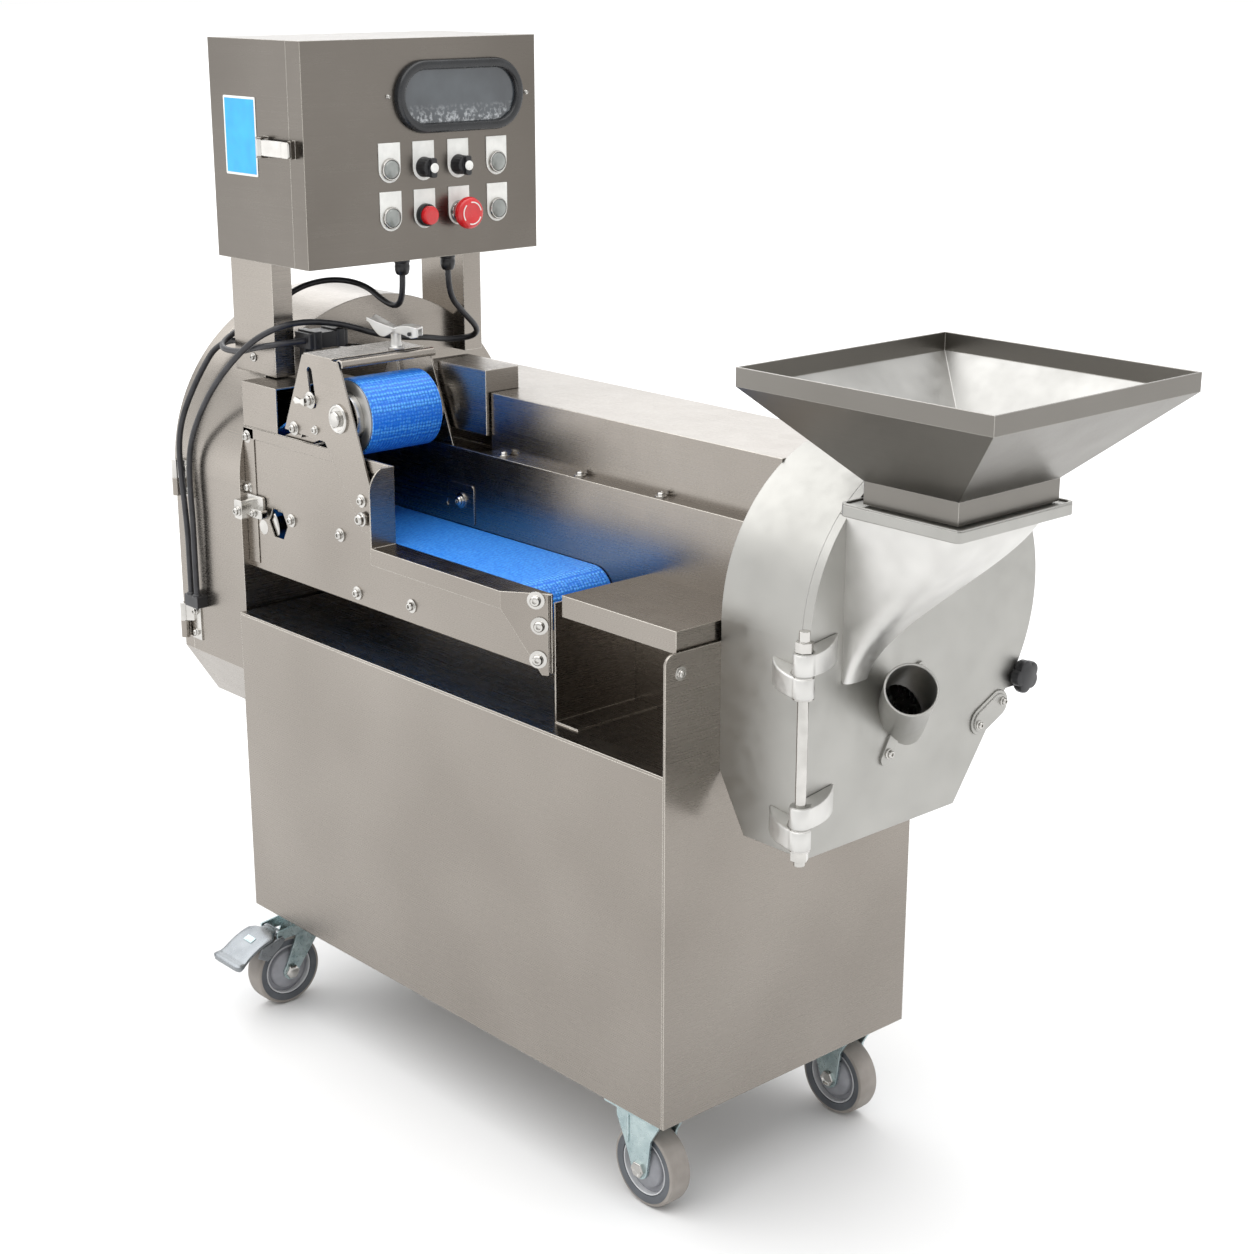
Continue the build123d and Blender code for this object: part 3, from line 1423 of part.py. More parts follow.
# Hopper: a turned-up rim over a funnel that narrows to the neck
with BuildPart() as hopper:
    rim_z = hopper_top - hopper_rim
    neck_top = tray_top + neck_height
    for inset, mode in ((0, Mode.ADD), (sheet, Mode.SUBTRACT)):
        with BuildSketch(Plane.XY.offset(rim_z)):
            with Locations((ex + hopper_x, fy + hopper_y)):
                Rectangle(hopper_length - 2 * inset, hopper_width - 2 * inset)
        extrude(amount=hopper_rim, mode=mode)
        with BuildSketch(Plane.XY.offset(rim_z)):
            with Locations((ex + hopper_x, fy + hopper_y)):
                Rectangle(hopper_length - 2 * inset, hopper_width - 2 * inset)
        with BuildSketch(Plane.XY.offset(neck_top)):
            with Locations((ex + hopper_x, fy + hopper_y)):
                Rectangle(neck_length - 2 * inset, neck_width - 2 * inset)
        loft(mode=mode)
        with BuildSketch(Plane.XY.offset(tray_top)):
            with Locations((ex + hopper_x, fy + hopper_y)):
                Rectangle(neck_length - 2 * inset, neck_width - 2 * inset)
        extrude(amount=neck_height, mode=mode)
    for base_z, rise, length, width in (
        (tray_top, sheet, neck_length, neck_width),
        (tray_top - spigot_depth, spigot_depth, spigot_length, spigot_width),
    ):
        with BuildSketch(Plane.XY.offset(base_z)):
            with Locations((ex + hopper_x, fy + hopper_y)):
                Rectangle(length, width)
                Rectangle(spigot_length - 2 * sheet, spigot_width - 2 * sheet, mode=Mode.SUBTRACT)
        extrude(amount=rise)
save(hopper.part, "hopper")

# Star knob that clamps the disc door at its back edge
with BuildPart() as star_knob:
    with BuildSketch(Plane.YZ.offset(door_outer_x)):
        with Locations((star_y, star_knob_z)):
            Circle(star_knob_radius * 0.6)
            with PolarLocations(star_knob_radius * 0.7, 5):
                Circle(star_knob_radius * 0.32)
    extrude(amount=14)
    with BuildSketch(Plane.YZ.offset(door_outer_x)):
        with Locations((star_y, star_knob_z)):
            Circle(star_screw_radius)
    extrude(amount=-star_screw_length)
save(star_knob.part, "star_knob")


# Drive: two motors hung from the cabinet's floor frame, each with a pulley and a belt
drives = (
    ("knife_motor_pulley", ex - knife_pulley_x, fy + leaf_centre_y, leaf_centre_z, knife_pulley_radius),
    ("disc_motor_pulley", ex - disc_pulley_x, fy + disc_centre_y, disc_centre_z, disc_pulley_radius),
)
motors = []
belts = []
for pulley_name, drive_x, drive_y, shaft_z, big_radius in drives:
    side = 1 if drive_x < ex - cabinet_length / 2 else -1
    with BuildPart() as motor:
        with BuildSketch(Plane.YZ.offset(drive_x + side * motor_gap)):
            with Locations((drive_y, motor_axis_z)):
                Circle(motor_radius)
                Circle(motor_shaft_radius + fit_gap, mode=Mode.SUBTRACT)
        extrude(amount=side * motor_length)
        motor_base = castor_height + sheet
        with BuildSketch(Plane.XY.offset(motor_base)):
            with Locations((drive_x + side * (motor_gap + motor_length / 2), drive_y)):
                Rectangle(motor_length * 0.6, motor_radius * 1.6)
        extrude(amount=motor_axis_z - motor_base - motor_radius + motor_foot_lap)
    motors.append(motor.part)
    with BuildPart() as pulley:
        with BuildSketch(Plane.YZ.offset(drive_x - drive_belt_width / 2)):
            with Locations((drive_y, motor_axis_z)):
                Circle(motor_pulley_radius)
        extrude(amount=drive_belt_width)
        with BuildSketch(Plane.YZ.offset(drive_x)):
            with Locations((drive_y, motor_axis_z)):
                Circle(motor_shaft_radius)
        extrude(amount=side * 80)
    save(pulley.part, pulley_name)
    with BuildPart() as drive_belt:
        with BuildSketch(Plane.YZ.offset(drive_x - drive_belt_width / 2)):
            for inset, mode in ((drive_belt_thickness, Mode.ADD), (0, Mode.SUBTRACT)):
                with BuildSketch(mode=Mode.PRIVATE) as loop:
                    with Locations((drive_y, shaft_z)):
                        Circle(big_radius + seat_gap + inset)
                    with Locations((drive_y, motor_axis_z)):
                        Circle(motor_pulley_radius + seat_gap + inset)
                    make_hull()
                add(loop.sketch, mode=mode)
        extrude(amount=drive_belt_width)
    belts.append(drive_belt.part)
with BuildPart() as gear_motor:
    gearbox_y = gearbox_front + gearbox_size / 2
    with Locations((drive_roller_x, gearbox_y, feed_axis_z)):
        Box(gearbox_size, gearbox_size, gearbox_size)
    fillet(gear_motor.edges().filter_by(Axis.Y), 6)
    with BuildSketch(Plane.XZ.offset(-gearbox_front)):
        with Locations((drive_roller_x, feed_axis_z)):
            Circle(journal_radius + fit_gap)
    extrude(amount=-gearbox_size, mode=Mode.SUBTRACT)
    with BuildSketch(Plane.YZ.offset(drive_roller_x + gearbox_size / 2)):
        with Locations((gearbox_y, feed_axis_z)):
            Circle(gear_motor_radius)
    extrude(amount=gear_motor_length)
    with BuildSketch(Plane.XY.offset(deck_z)):
        with Locations((drive_roller_x + gearbox_size / 2 + gear_motor_length / 2, gearbox_y)):
            Rectangle(gear_motor_length / 2, gear_motor_radius)
    extrude(amount=feed_axis_z - gear_motor_radius - deck_z + sheet)
motors.append(gear_motor.part)
save(Compound(children=motors), "drive_motors")
save(Compound(children=belts), "drive_belts")

# Shaft bearings on pedestals that stand on the deck
bearing_places = (
    (ex - knife_pulley_x - 60, fy + leaf_centre_y, leaf_centre_z, knife_shaft_radius),
    (ex - disc_pulley_x + 60, fy + disc_centre_y, disc_centre_z, disc_shaft_radius),
    (ex - disc_pulley_x - 36, fy + disc_centre_y, disc_centre_z, disc_shaft_radius),
)
bearings = []
for bearing_x, bearing_y, bearing_z, shaft_radius in bearing_places:
    with BuildPart() as bearing:
        with BuildSketch(Plane.YZ.offset(bearing_x - pedestal_length / 2)):
            with BuildLine():
                Polyline(
                    (bearing_y - pedestal_width / 2, deck_z),
                    (bearing_y + pedestal_width / 2, deck_z),
                    (bearing_y + shaft_radius * 2, bearing_z),
                    (bearing_y - shaft_radius * 2, bearing_z),
                    close=True,
                )
            make_face()
            with Locations((bearing_y, bearing_z)):
                Circle(shaft_radius * 2)
                Circle(shaft_radius + fit_gap, mode=Mode.SUBTRACT)
        extrude(amount=pedestal_length)
    bearings.append(bearing.part)
with BuildPart() as flange_bearing:
    with BuildSketch(Plane.YZ.offset(leaf_face_x)):
        with Locations((fy + leaf_centre_y, leaf_centre_z)):
            Circle(flange_bearing_radius)
            Circle(knife_shaft_radius + fit_gap, mode=Mode.SUBTRACT)
    extrude(amount=flange_bearing_length)
bearings.append(flange_bearing.part)
save(Compound(children=bearings), "shaft_bearings")

# Castors
fork_inner = wheel_width / 2 + fork_gap
fixed_places = (
    ("front_right", ex - fixed_inset_x, fy + castor_inset_y),
    ("rear_right", ex - fixed_inset_x, cabinet_back - castor_inset_y),
)
swivel_places = (
    ("front_left", cabinet_left + swivel_inset_x, fy + swivel_inset_y),
    ("rear_left", cabinet_left + swivel_inset_x, cabinet_back - swivel_inset_y),
)


def castor_wheel(axis_plane):
    """A wheel with a recessed hub and its axle, about the plane's normal."""
    with BuildPart() as wheel:
        with BuildSketch(axis_plane.offset(-wheel_width / 2)):
            Circle(wheel_radius)
        extrude(amount=wheel_width)
        fillet(wheel.edges().filter_by(GeomType.CIRCLE), 4)
        for side in (-1, 1):
            with BuildSketch(axis_plane.offset(side * wheel_width / 2)):
                Circle(wheel_hub_radius)
                Circle(axle_radius * 2, mode=Mode.SUBTRACT)
            extrude(amount=-side * wheel_hub_recess, mode=Mode.SUBTRACT)
        with BuildSketch(axis_plane.offset(-fork_inner - fork_sheet)):
            Circle(axle_radius)
        extrude(amount=2 * (fork_inner + fork_sheet))
    return wheel.part


def castor_fork(axis_plane, stem_x, stem_y, has_stem):
    """Two cheeks from the axle up to a crown under the top plate."""
    crown_z = castor_height - castor_plate_thickness
    if has_stem:
        crown_z -= swivel_race
    across = Vector(stem_x, stem_y, 0) - Vector(axis_plane.origin.X, axis_plane.origin.Y, 0)
    lean = across.dot(axis_plane.x_dir)
    rise = crown_z - wheel_radius
    with BuildPart() as fork:
        for side in (-1, 1):
            inner = side * fork_inner
            with BuildSketch(axis_plane.offset(inner)):
                with BuildLine():
                    Polyline(
                        (-axle_radius * 2, 0),
                        (axle_radius * 2, 0),
                        (lean + fork_width / 2, rise - 12),
                        (lean + fork_width / 2, rise),
                        (lean - fork_width / 2, rise),
                        (lean - fork_width / 2, rise - 12),
                        close=True,
                    )
                make_face()
                Circle(axle_radius * 2)
                Circle(axle_radius + fit_gap, mode=Mode.SUBTRACT)
            extrude(amount=side * fork_sheet)
        with BuildSketch(axis_plane.offset(-fork_inner)):
            with Locations((lean, rise)):
                Rectangle(fork_width, fork_sheet, align=(Align.CENTER, Align.MAX))
        extrude(amount=2 * fork_inner)
    return fork.part


fixed_forks = []
for place, wheel_x, wheel_y in fixed_places:
    axis_plane = Plane(origin=(wheel_x, wheel_y, wheel_radius), x_dir=(1, 0, 0), z_dir=(0, -1, 0))
    save(castor_wheel(axis_plane), f"wheel_{place}")
    with BuildPart() as fixed_fork:
        add(castor_fork(axis_plane, wheel_x, wheel_y, False))
        with BuildSketch(Plane.XY.offset(castor_height)):
            with Locations((wheel_x, wheel_y)):
                Rectangle(castor_plate, castor_plate)
        extrude(amount=-castor_plate_thickness)
    fixed_forks.append(fixed_fork.part)
swivel_plates = []
for place, stem_x, stem_y in swivel_places:
    axis_plane = Plane(
        origin=(stem_x, stem_y - swivel_trail, wheel_radius), x_dir=(0, 1, 0), z_dir=(1, 0, 0)
    )
    save(castor_wheel(axis_plane), f"wheel_{place}")
    with BuildPart() as fork:
        add(castor_fork(axis_plane, stem_x, stem_y, True))
        with BuildSketch(Plane.XY.offset(castor_height - castor_plate_thickness - swivel_race)):
            with Locations((stem_x, stem_y)):
                Circle(stem_radius)
        extrude(amount=swivel_race - seat_gap)
        pedal_pivot = (stem_y - swivel_trail - pedal_pivot_reach, castor_height - pedal_pivot_drop)
        for side in (-1, 1):
            with BuildSketch(Plane.YZ.offset(stem_x + side * fork_inner)):
                with BuildLine():
                    Polyline(
                        (stem_y, pedal_pivot[1] - 6),
                        (stem_y, pedal_pivot[1] + 12),
                        (pedal_pivot[0] - 6, pedal_pivot[1] + 6),
                        (pedal_pivot[0] - 6, pedal_pivot[1] - 6),
                        close=True,
                    )
                make_face()
            extrude(amount=side * fork_sheet)
        with BuildSketch(Plane.YZ.offset(stem_x - fork_inner)):
            with Locations(pedal_pivot):
                Circle(pedal_pin_radius)
        extrude(amount=2 * fork_inner)
    save(fork.part, f"castor_fork_{place}")
    with BuildPart() as swivel_plate:
        with BuildSketch(Plane.XY.offset(castor_height)):
            with Locations((stem_x, stem_y)):
                Rectangle(castor_plate, castor_plate)
        extrude(amount=-castor_plate_thickness)
    swivel_plates.append(swivel_plate.part)
    with BuildPart() as pedal:
        pedal_tip = (pedal_pivot[0] - pedal_length, pedal_pivot[1] - pedal_fall)
        pedal_bend = (pedal_pivot[0] - pedal_length * 0.6, pedal_pivot[1] - pedal_fall * 0.3)
        neck_half = fork_inner - clear_gap / 2
        with BuildSketch(Plane.YZ.offset(stem_x - neck_half)):
            with BuildLine():
                Polyline(
                    pedal_pivot,
                    (pedal_bend[0], pedal_bend[1]),
                    (pedal_bend[0], pedal_bend[1] + pedal_thickness),
                    (pedal_pivot[0], pedal_pivot[1] + pedal_barrel_radius),
                    close=True,
                )
            make_face()
            with Locations(pedal_pivot):
                Circle(pedal_barrel_radius)
                Circle(pedal_pin_radius + fit_gap, mode=Mode.SUBTRACT)
        extrude(amount=2 * neck_half)
        with BuildSketch(Plane.YZ.offset(stem_x - pedal_width / 2)):
            with BuildLine():
                Polyline(
                    pedal_bend,
                    (pedal_tip[0] + pedal_thickness, pedal_tip[1]),
                    pedal_tip,
                    (pedal_tip[0], pedal_tip[1] + pedal_thickness),
                    (pedal_bend[0] - 4, pedal_bend[1] + pedal_thickness * 1.6),
                    (pedal_bend[0] + 12, pedal_bend[1] + pedal_thickness * 1.6),
                    (pedal_bend[0] + 12, pedal_bend[1] + pedal_thickness / 2),
                    close=True,
                )
            make_face()
        extrude(amount=pedal_width)
    save(pedal.part, f"brake_pedal_{place}")
save(Compound(children=fixed_forks + swivel_plates), "castor_mounts")


# Bolt heads on the fixed sheets, and the press's two pivot pins
front_sheet_y = fy + conveyor_front
front_bolts = ((833, 795), (836, 726), (737, 699), (627, 701), (594, 632), (480, 640))
cap_bolts = (cap_run - 18, cap_run - 14, cap_run - 16)
cap_drops = (6, 36, 76)
flange_bolts = (467, 323, 182)


def bolt_head(plane, at):
    """A low domed head standing on its sheet."""
    with BuildPart() as head:
        with BuildSketch(plane):
            with Locations(at):
                Circle(bolt_radius)
        extrude(amount=bolt_head_height, taper=20)
    return head.part


bolts = [bolt_head(Plane.XZ.offset(-front_sheet_y), (ex - x, z)) for x, z in front_bolts]
bolts += [
    bolt_head(cap_plane, (along, -drop)) for along, drop in zip(cap_bolts, cap_drops)
]
bolts += [
    bolt_head(Plane.XY.offset(conveyor_wall_top), (ex - x, wall_y + wall_flange * 0.6))
    for x in flange_bolts
]
bolts.append(bolt_head(Plane.YZ.offset(ex), (fy + end_panel_bolt_y, panel_top - end_panel_bolt_drop)))
bolts.append(bolt_head(Plane.XZ.offset(-wall_y), (ex - wall_bolt_x, wall_bolt_z)))
for pin_start, pin_end in (
    (press_plane_y[0] - press_plate, front_sheet_y),
    (wall_y + sheet, press_plane_y[1] + 2 * press_plate),
):
    with BuildPart() as pivot_pin:
        with BuildSketch(Plane.XZ.offset(-pin_start)):
            with Locations(press_pivot):
                Circle(journal_radius / 2)
        extrude(amount=pin_start - pin_end)
    bolts.append(pivot_pin.part)
save(Compound(children=bolts), "panel_bolts")
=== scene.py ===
"""Looks of a vegetable cutting machine on castors: satin stainless sheet, cast and blasted steel,
two blue belts, a control box with its lamps and buttons, rubber cables and four castors.

Lengths are in metres in the part's own frame: +X to the disc head, +Y to the back, +Z up. Places
on the machine are read as in the part's source: left of the cabinet's right end, back from the
cabinet's front, and up from the floor, in millimetres."""

from math import cos, pi, radians, sin

import bmesh
import bpy
import numpy as np
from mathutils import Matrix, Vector


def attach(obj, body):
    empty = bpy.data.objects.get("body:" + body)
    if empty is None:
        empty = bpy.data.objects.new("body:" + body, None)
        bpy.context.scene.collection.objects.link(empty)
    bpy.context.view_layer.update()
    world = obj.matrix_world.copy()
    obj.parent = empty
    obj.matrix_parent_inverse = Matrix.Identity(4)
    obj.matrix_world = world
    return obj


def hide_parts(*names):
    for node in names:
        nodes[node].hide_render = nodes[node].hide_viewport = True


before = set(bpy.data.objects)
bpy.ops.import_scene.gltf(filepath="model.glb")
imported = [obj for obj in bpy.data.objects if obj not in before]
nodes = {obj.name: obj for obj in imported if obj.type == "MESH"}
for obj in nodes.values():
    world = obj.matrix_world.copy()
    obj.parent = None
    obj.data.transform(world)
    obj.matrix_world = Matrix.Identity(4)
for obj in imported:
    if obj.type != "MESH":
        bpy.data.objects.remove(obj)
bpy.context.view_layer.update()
scene = bpy.context.scene

END_X = 312.75
FRONT_Y = -196.0
DOOR_FACE = -130.0
BOX_FACE = 710.0
PRESS_FRONT, PRESS_BACK = 18.0, 160.0
DRUM = (611.0, 853.0)
SWIVEL_LEFT, FIXED_LEFT = 790.0, 62.0
WHEEL_RADIUS = 50.0
OUT, BACK, UP = (1.0, 0.0, 0.0), (0.0, 1.0, 0.0), (0.0, 0.0, 1.0)
FRONT, DOWN = (0.0, -1.0, 0.0), (0.0, 0.0, -1.0)


def place(left, back, up):
    """A point in metres from its distances in millimetres left, back and up."""
    return np.array([END_X - left, FRONT_Y + back, up]) / 1000.0


# Camera, at the photograph's place: it looks left, back and a little down, with no shift
camera_data = bpy.data.cameras.new("camera")
camera_data.lens = 62.71
camera_data.sensor_width = 36.0
camera = bpy.data.objects.new("camera", camera_data)
camera.location = (1.90845, -1.6888, 1.3990)
camera.rotation_euler = Vector((-0.71002, 0.64001, -0.29368)).to_track_quat("-Z", "Y").to_euler()
scene.collection.objects.link(camera)
scene.camera = camera


def linear(code):
    """An sRGB hex colour as linear RGBA: c/12.92 when dark, else ((c + 0.055)/1.055)^2.4."""
    raw = np.array([int(code[i : i + 2], 16) for i in (1, 3, 5)]) / 255.0
    out = np.where(raw <= 0.04045, raw / 12.92, ((raw + 0.055) / 1.055) ** 2.4)
    return (*out.tolist(), 1.0)


def feed(tree, target, links):
    """Link a node's inputs, given as {input: (node, output)}."""
    for name, (source, output) in links.items():
        tree.links.new(source.outputs[output], target.inputs[name])


def node(tree, kind, settings=None, sockets=None, links=None):
    """One node with its settings, its socket values, and links as {input: (node, output)}."""
    made = tree.nodes.new(kind)
    for name, value in (settings or {}).items():
        setattr(made, name, value)
    for name, value in (sockets or {}).items():
        made.inputs[name].default_value = value
    feed(tree, made, links or {})
    return made


def surface(name, sockets):
    """A material with its principled shader set, as (material, tree, shader)."""
    material = bpy.data.materials.new(name)
    material.use_nodes = True
    tree = material.node_tree
    shader = tree.nodes["Principled BSDF"]
    for socket, value in sockets.items():
        shader.inputs[socket].default_value = value
    return material, tree, shader


def patches(tree, place_in, size_mm, detail, low, high):
    """Soft patches of one size, from low to high, as a node whose Result feeds a value."""
    noise = node(
        tree,
        "ShaderNodeTexNoise",
        sockets={"Scale": 1000.0 / size_mm, "Detail": detail},
        links={"Vector": (place_in, "Object")},
    )
    return node(
        tree,
        "ShaderNodeMapRange",
        sockets={"From Min": 0.32, "From Max": 0.68, "To Min": low, "To Max": high},
        links={"Value": (noise, "Fac")},
    )


def edge_highlight(tree, radius, bright):
    """Edges rounded in the shading to a radius, and how near one is, from 0 to bright, which
    lightens the colour there as a painted highlight.

    The measure is 1 - rounded normal . flat normal, which is nothing away from an edge."""
    rounded_off = node(tree, "ShaderNodeBevel", {"samples": 6}, {"Radius": radius})
    flat = node(tree, "ShaderNodeNewGeometry")
    agree = node(
        tree,
        "ShaderNodeVectorMath",
        {"operation": "DOT_PRODUCT"},
        links={0: (rounded_off, "Normal"), 1: (flat, "Normal")},
    )
    near = node(
        tree,
        "ShaderNodeMapRange",
        sockets={"From Min": 0.985, "From Max": 0.90, "To Min": 0.0, "To Max": bright},
        links={"Value": (agree, "Value")},
    )
    return rounded_off, near


def sheet_steel(name, dark, light, edge, rough, grain_mm, fold_radius):
    """Type 304 stainless sheet, brushed on a belt grinder, then cut and folded.

    Fine straight lines stretch its reflections across them, handling leaves faint clouds, and
    folded edges carry a painted highlight. The lines lie 0.3 mm apart and are drawn wider, so that
    they show. They run along X, and along Y on the faces that look along X."""
    material, tree, shader = surface(name, {"Metallic": 1.0})
    place_in = node(tree, "ShaderNodeTexCoord")
    facing = node(tree, "ShaderNodeNewGeometry")
    parts = node(tree, "ShaderNodeSeparateXYZ", links={"Vector": (facing, "True Normal")})
    ends = node(tree, "ShaderNodeMath", {"operation": "ABSOLUTE"}, links={0: (parts, "X")})
    is_end = node(
        tree, "ShaderNodeMath", {"operation": "GREATER_THAN"}, {1: 0.7}, {0: (ends, "Value")}
    )
    lines, run = 1000.0 / grain_mm, 1000.0 / 200.0
    along_x = node(
        tree,
        "ShaderNodeMapping",
        sockets={"Scale": (run, lines, lines)},
        links={"Vector": (place_in, "Object")},
    )
    along_y = node(
        tree,
        "ShaderNodeMapping",
        sockets={"Scale": (lines, run, lines)},
        links={"Vector": (place_in, "Object")},
    )
    way = node(
        tree,
        "ShaderNodeMix",
        {"data_type": "VECTOR"},
        links={"Factor": (is_end, "Value"), 4: (along_x, "Vector"), 5: (along_y, "Vector")},
    )
    brushed = node(
        tree,
        "ShaderNodeTexNoise",
        sockets={"Scale": 1.0, "Detail": 3.0, "Roughness": 0.6},
        links={"Vector": (way, 1)},
    )
    cloud = patches(tree, place_in, 300.0, 2.0, 0.0, 1.0)
    sheet = node(
        tree,
        "ShaderNodeMix",
        {"data_type": "RGBA"},
        {6: linear(dark), 7: linear(light)},
        {"Factor": (cloud, "Result")},
    )
    # Towards a fold the colour goes to the edge colour: a painted highlight along the rounded fold.
    folded, near = edge_highlight(tree, fold_radius, 0.75)
    colour = node(
        tree,
        "ShaderNodeMix",
        {"data_type": "RGBA"},
        {7: linear(edge)},
        {"Factor": (near, "Result"), 6: (sheet, 2)},
    )
    ground = node(
        tree,
        "ShaderNodeMapRange",
        sockets={"To Min": rough - 0.08, "To Max": rough + 0.08},
        links={"Value": (brushed, "Fac")},
    )
    smear = patches(tree, place_in, 33.0, 5.0, -0.02, 0.02)
    roughness = node(
        tree,
        "ShaderNodeMath",
        {"operation": "ADD"},
        links={0: (ground, "Result"), 1: (smear, "Result")},
    )
    bump = node(
        tree,
        "ShaderNodeBump",
        sockets={"Strength": 0.35, "Distance": 0.00004},
        links={"Height": (brushed, "Fac"), "Normal": (folded, "Normal")},
    )
    feed(
        tree,
        shader,
        {"Base Color": (colour, 2), "Roughness": (roughness, "Value"), "Normal": (bump, "Normal")},
    )
    return material


def grained(name, dark, light, sockets, grain_mm, depth_mm, cloud_mm=80.0, edge_mm=0.8, edge=None):
    """A cast, blasted, painted or moulded skin: pits of one grain size under a cloudy tint."""
    material, tree, shader = surface(name, sockets)
    place_in = node(tree, "ShaderNodeTexCoord")
    cloud = patches(tree, place_in, cloud_mm, 5.0, 0.0, 1.0)
    skin = node(
        tree,
        "ShaderNodeMix",
        {"data_type": "RGBA"},
        {6: linear(dark), 7: linear(light)},
        {"Factor": (cloud, "Result")},
    )
    # Towards an edge the colour goes to the edge colour: a painted highlight along the rounded
    # edge.
    softened, near = edge_highlight(tree, edge_mm / 1000.0, 0.5)
    colour = node(
        tree,
        "ShaderNodeMix",
        {"data_type": "RGBA"},
        {7: linear(edge or light)},
        {"Factor": (near, "Result"), 6: (skin, 2)},
    )
    rough = sockets["Roughness"]
    wear = patches(tree, place_in, cloud_mm / 4.0, 5.0, rough - 0.06, rough + 0.06)
    grain = node(
        tree,
        "ShaderNodeTexNoise",
        sockets={"Scale": 1000.0 / grain_mm, "Detail": 2.0},
        links={"Vector": (place_in, "Object")},
    )
    bump = node(
        tree,
        "ShaderNodeBump",
        sockets={"Strength": 0.5, "Distance": depth_mm / 1000.0},
        links={"Height": (grain, "Fac"), "Normal": (softened, "Normal")},
    )
    feed(
        tree,
        shader,
        {"Base Color": (colour, 2), "Roughness": (wear, "Result"), "Normal": (bump, "Normal")},
    )
    return material


def textured_belt(name, pitch_mm):
    """Food-grade polyurethane belt, embossed with a pebble top: small rounded bumps in rows.

    Each bump has a painted highlight on its crown and painted shade, a darker blue, in the hollow
    round it."""
    material, tree, shader = surface(
        name, {"Roughness": 0.36, "Specular IOR Level": 0.5, "Coat Weight": 0.12}
    )
    place_in = node(tree, "ShaderNodeTexCoord")
    pebbles = node(
        tree,
        "ShaderNodeTexVoronoi",
        {"feature": "F1"},
        {"Scale": 1000.0 / pitch_mm, "Randomness": 0.25},
        {"Vector": (place_in, "Object")},
    )
    crown_and_painted_light = node(
        tree,
        "ShaderNodeMapRange",
        sockets={"From Min": 0.1, "From Max": 0.62, "To Min": 1.0, "To Max": 0.0},
        links={"Value": (pebbles, "Distance")},
    )
    # Colour from the crown height: a painted highlight on each crown and painted shade in the
    # hollows.
    colour = node(
        tree,
        "ShaderNodeMix",
        {"data_type": "RGBA"},
        {6: linear("#126cd7"), 7: linear("#59b4ff")},
        {"Factor": (crown_and_painted_light, "Result")},
    )
    bump = node(
        tree,
        "ShaderNodeBump",
        sockets={"Strength": 1.0, "Distance": 0.0012},
        links={"Height": (crown_and_painted_light, "Result")},
    )
    feed(tree, shader, {"Base Color": (colour, 2), "Normal": (bump, "Normal")})
    return material


def metal(rough):
    """Shader sockets of a bare metal at one roughness."""
    return {"Metallic": 1.0, "Roughness": rough}


# Belt-ground sheet: warm grey, long soft streaks of light, and a painted highlight along the folds
brushed_stainless = sheet_steel(
    "brushed_stainless", "#8b857e", "#97918a", "#d9d4cb", 0.27, 0.9, 0.0016
)
# The hopper's thinner sheet: the same finish, cooler and duller, made a good deal darker as painted
# shade on its outside
shaded_hopper_stainless = sheet_steel(
    "shaded_hopper_stainless", "#75726d", "#7f7c77", "#c4c1bb", 0.33, 0.9, 0.0012
)
# Inside of the hopper and ends of the drum: matt steel made paler than the sheet, as painted light
# from the ceiling
pale_lit_stainless = grained(
    "pale_lit_stainless", "#a5a4a1", "#b4b3b0", metal(0.45), 0.8, 0.03, 60.0
)
# Control box: a bought-in enclosure of warmer satin sheet, made darker than the cabinet's as
# painted shade
shaded_box_stainless = sheet_steel(
    "shaded_box_stainless", "#68635d", "#726d67", "#c9c4bb", 0.3, 0.9, 0.0016
)
# Bead-blasted stainless: an even pale satin with no direction in it
blasted_stainless = grained(
    "blasted_stainless", "#a3a29e", "#adaca8", metal(0.42), 0.7, 0.05, 80.0, 0.8, "#d0cfcb"
)
# Investment-cast stainless, blasted: pale, soft and slightly pebbled
cast_steel = grained(
    "cast_steel", "#c9c8c5", "#d6d5d2", metal(0.46), 1.1, 0.12, 33.0, 1.4, "#e6e5e2"
)
# Turned and polished stainless: sharp bright bands round each bar and screw head
turned_steel = grained("turned_steel", "#b3b1ad", "#c9c7c3", metal(0.17), 0.6, 0.02, 25.0, 0.6)
# Surface-ground tool steel: nearly mirror, neutral grey
ground_knife = grained("ground_knife", "#b4b4b4", "#c6c6c6", metal(0.26), 0.8, 0.02, 40.0)
# Blue-passivated zinc plate: pale blue-green, glossy, with drying marks
zinc_plate = grained(
    "zinc_plate", "#9fb3b6", "#c0d0d1", metal(0.3), 2.4, 0.03, 17.0, 0.8, "#dde6e6"
)
# Die-cast aluminium, tumbled: mid-grey satin with a painted highlight along its edges
pedal_aluminium = grained(
    "pedal_aluminium", "#84888c", "#94989b", metal(0.3), 1.0, 0.08, 25.0, 0.8, "#dfe1e2"
)
# Moulded thermoplastic rubber tread: matt warm grey, scuffed by the floor
tread_rubber = grained(
    "tread_rubber", "#7f7973", "#958f89", {"Roughness": 0.6}, 1.4, 0.1, 28.0
)
# Moulded polypropylene wheel: dark blue-grey body, a pale bead and a mid-grey cover
rim_plastic = grained("rim_plastic", "#4a4d52", "#575b60", {"Roughness": 0.42}, 1.0, 0.06, 20.0)
bead_plastic = grained("bead_plastic", "#b9babc", "#c9cacc", {"Roughness": 0.4}, 1.0, 0.04, 20.0)
hub_plastic = grained("hub_plastic", "#818287", "#929398", {"Roughness": 0.42}, 1.0, 0.06, 20.0)
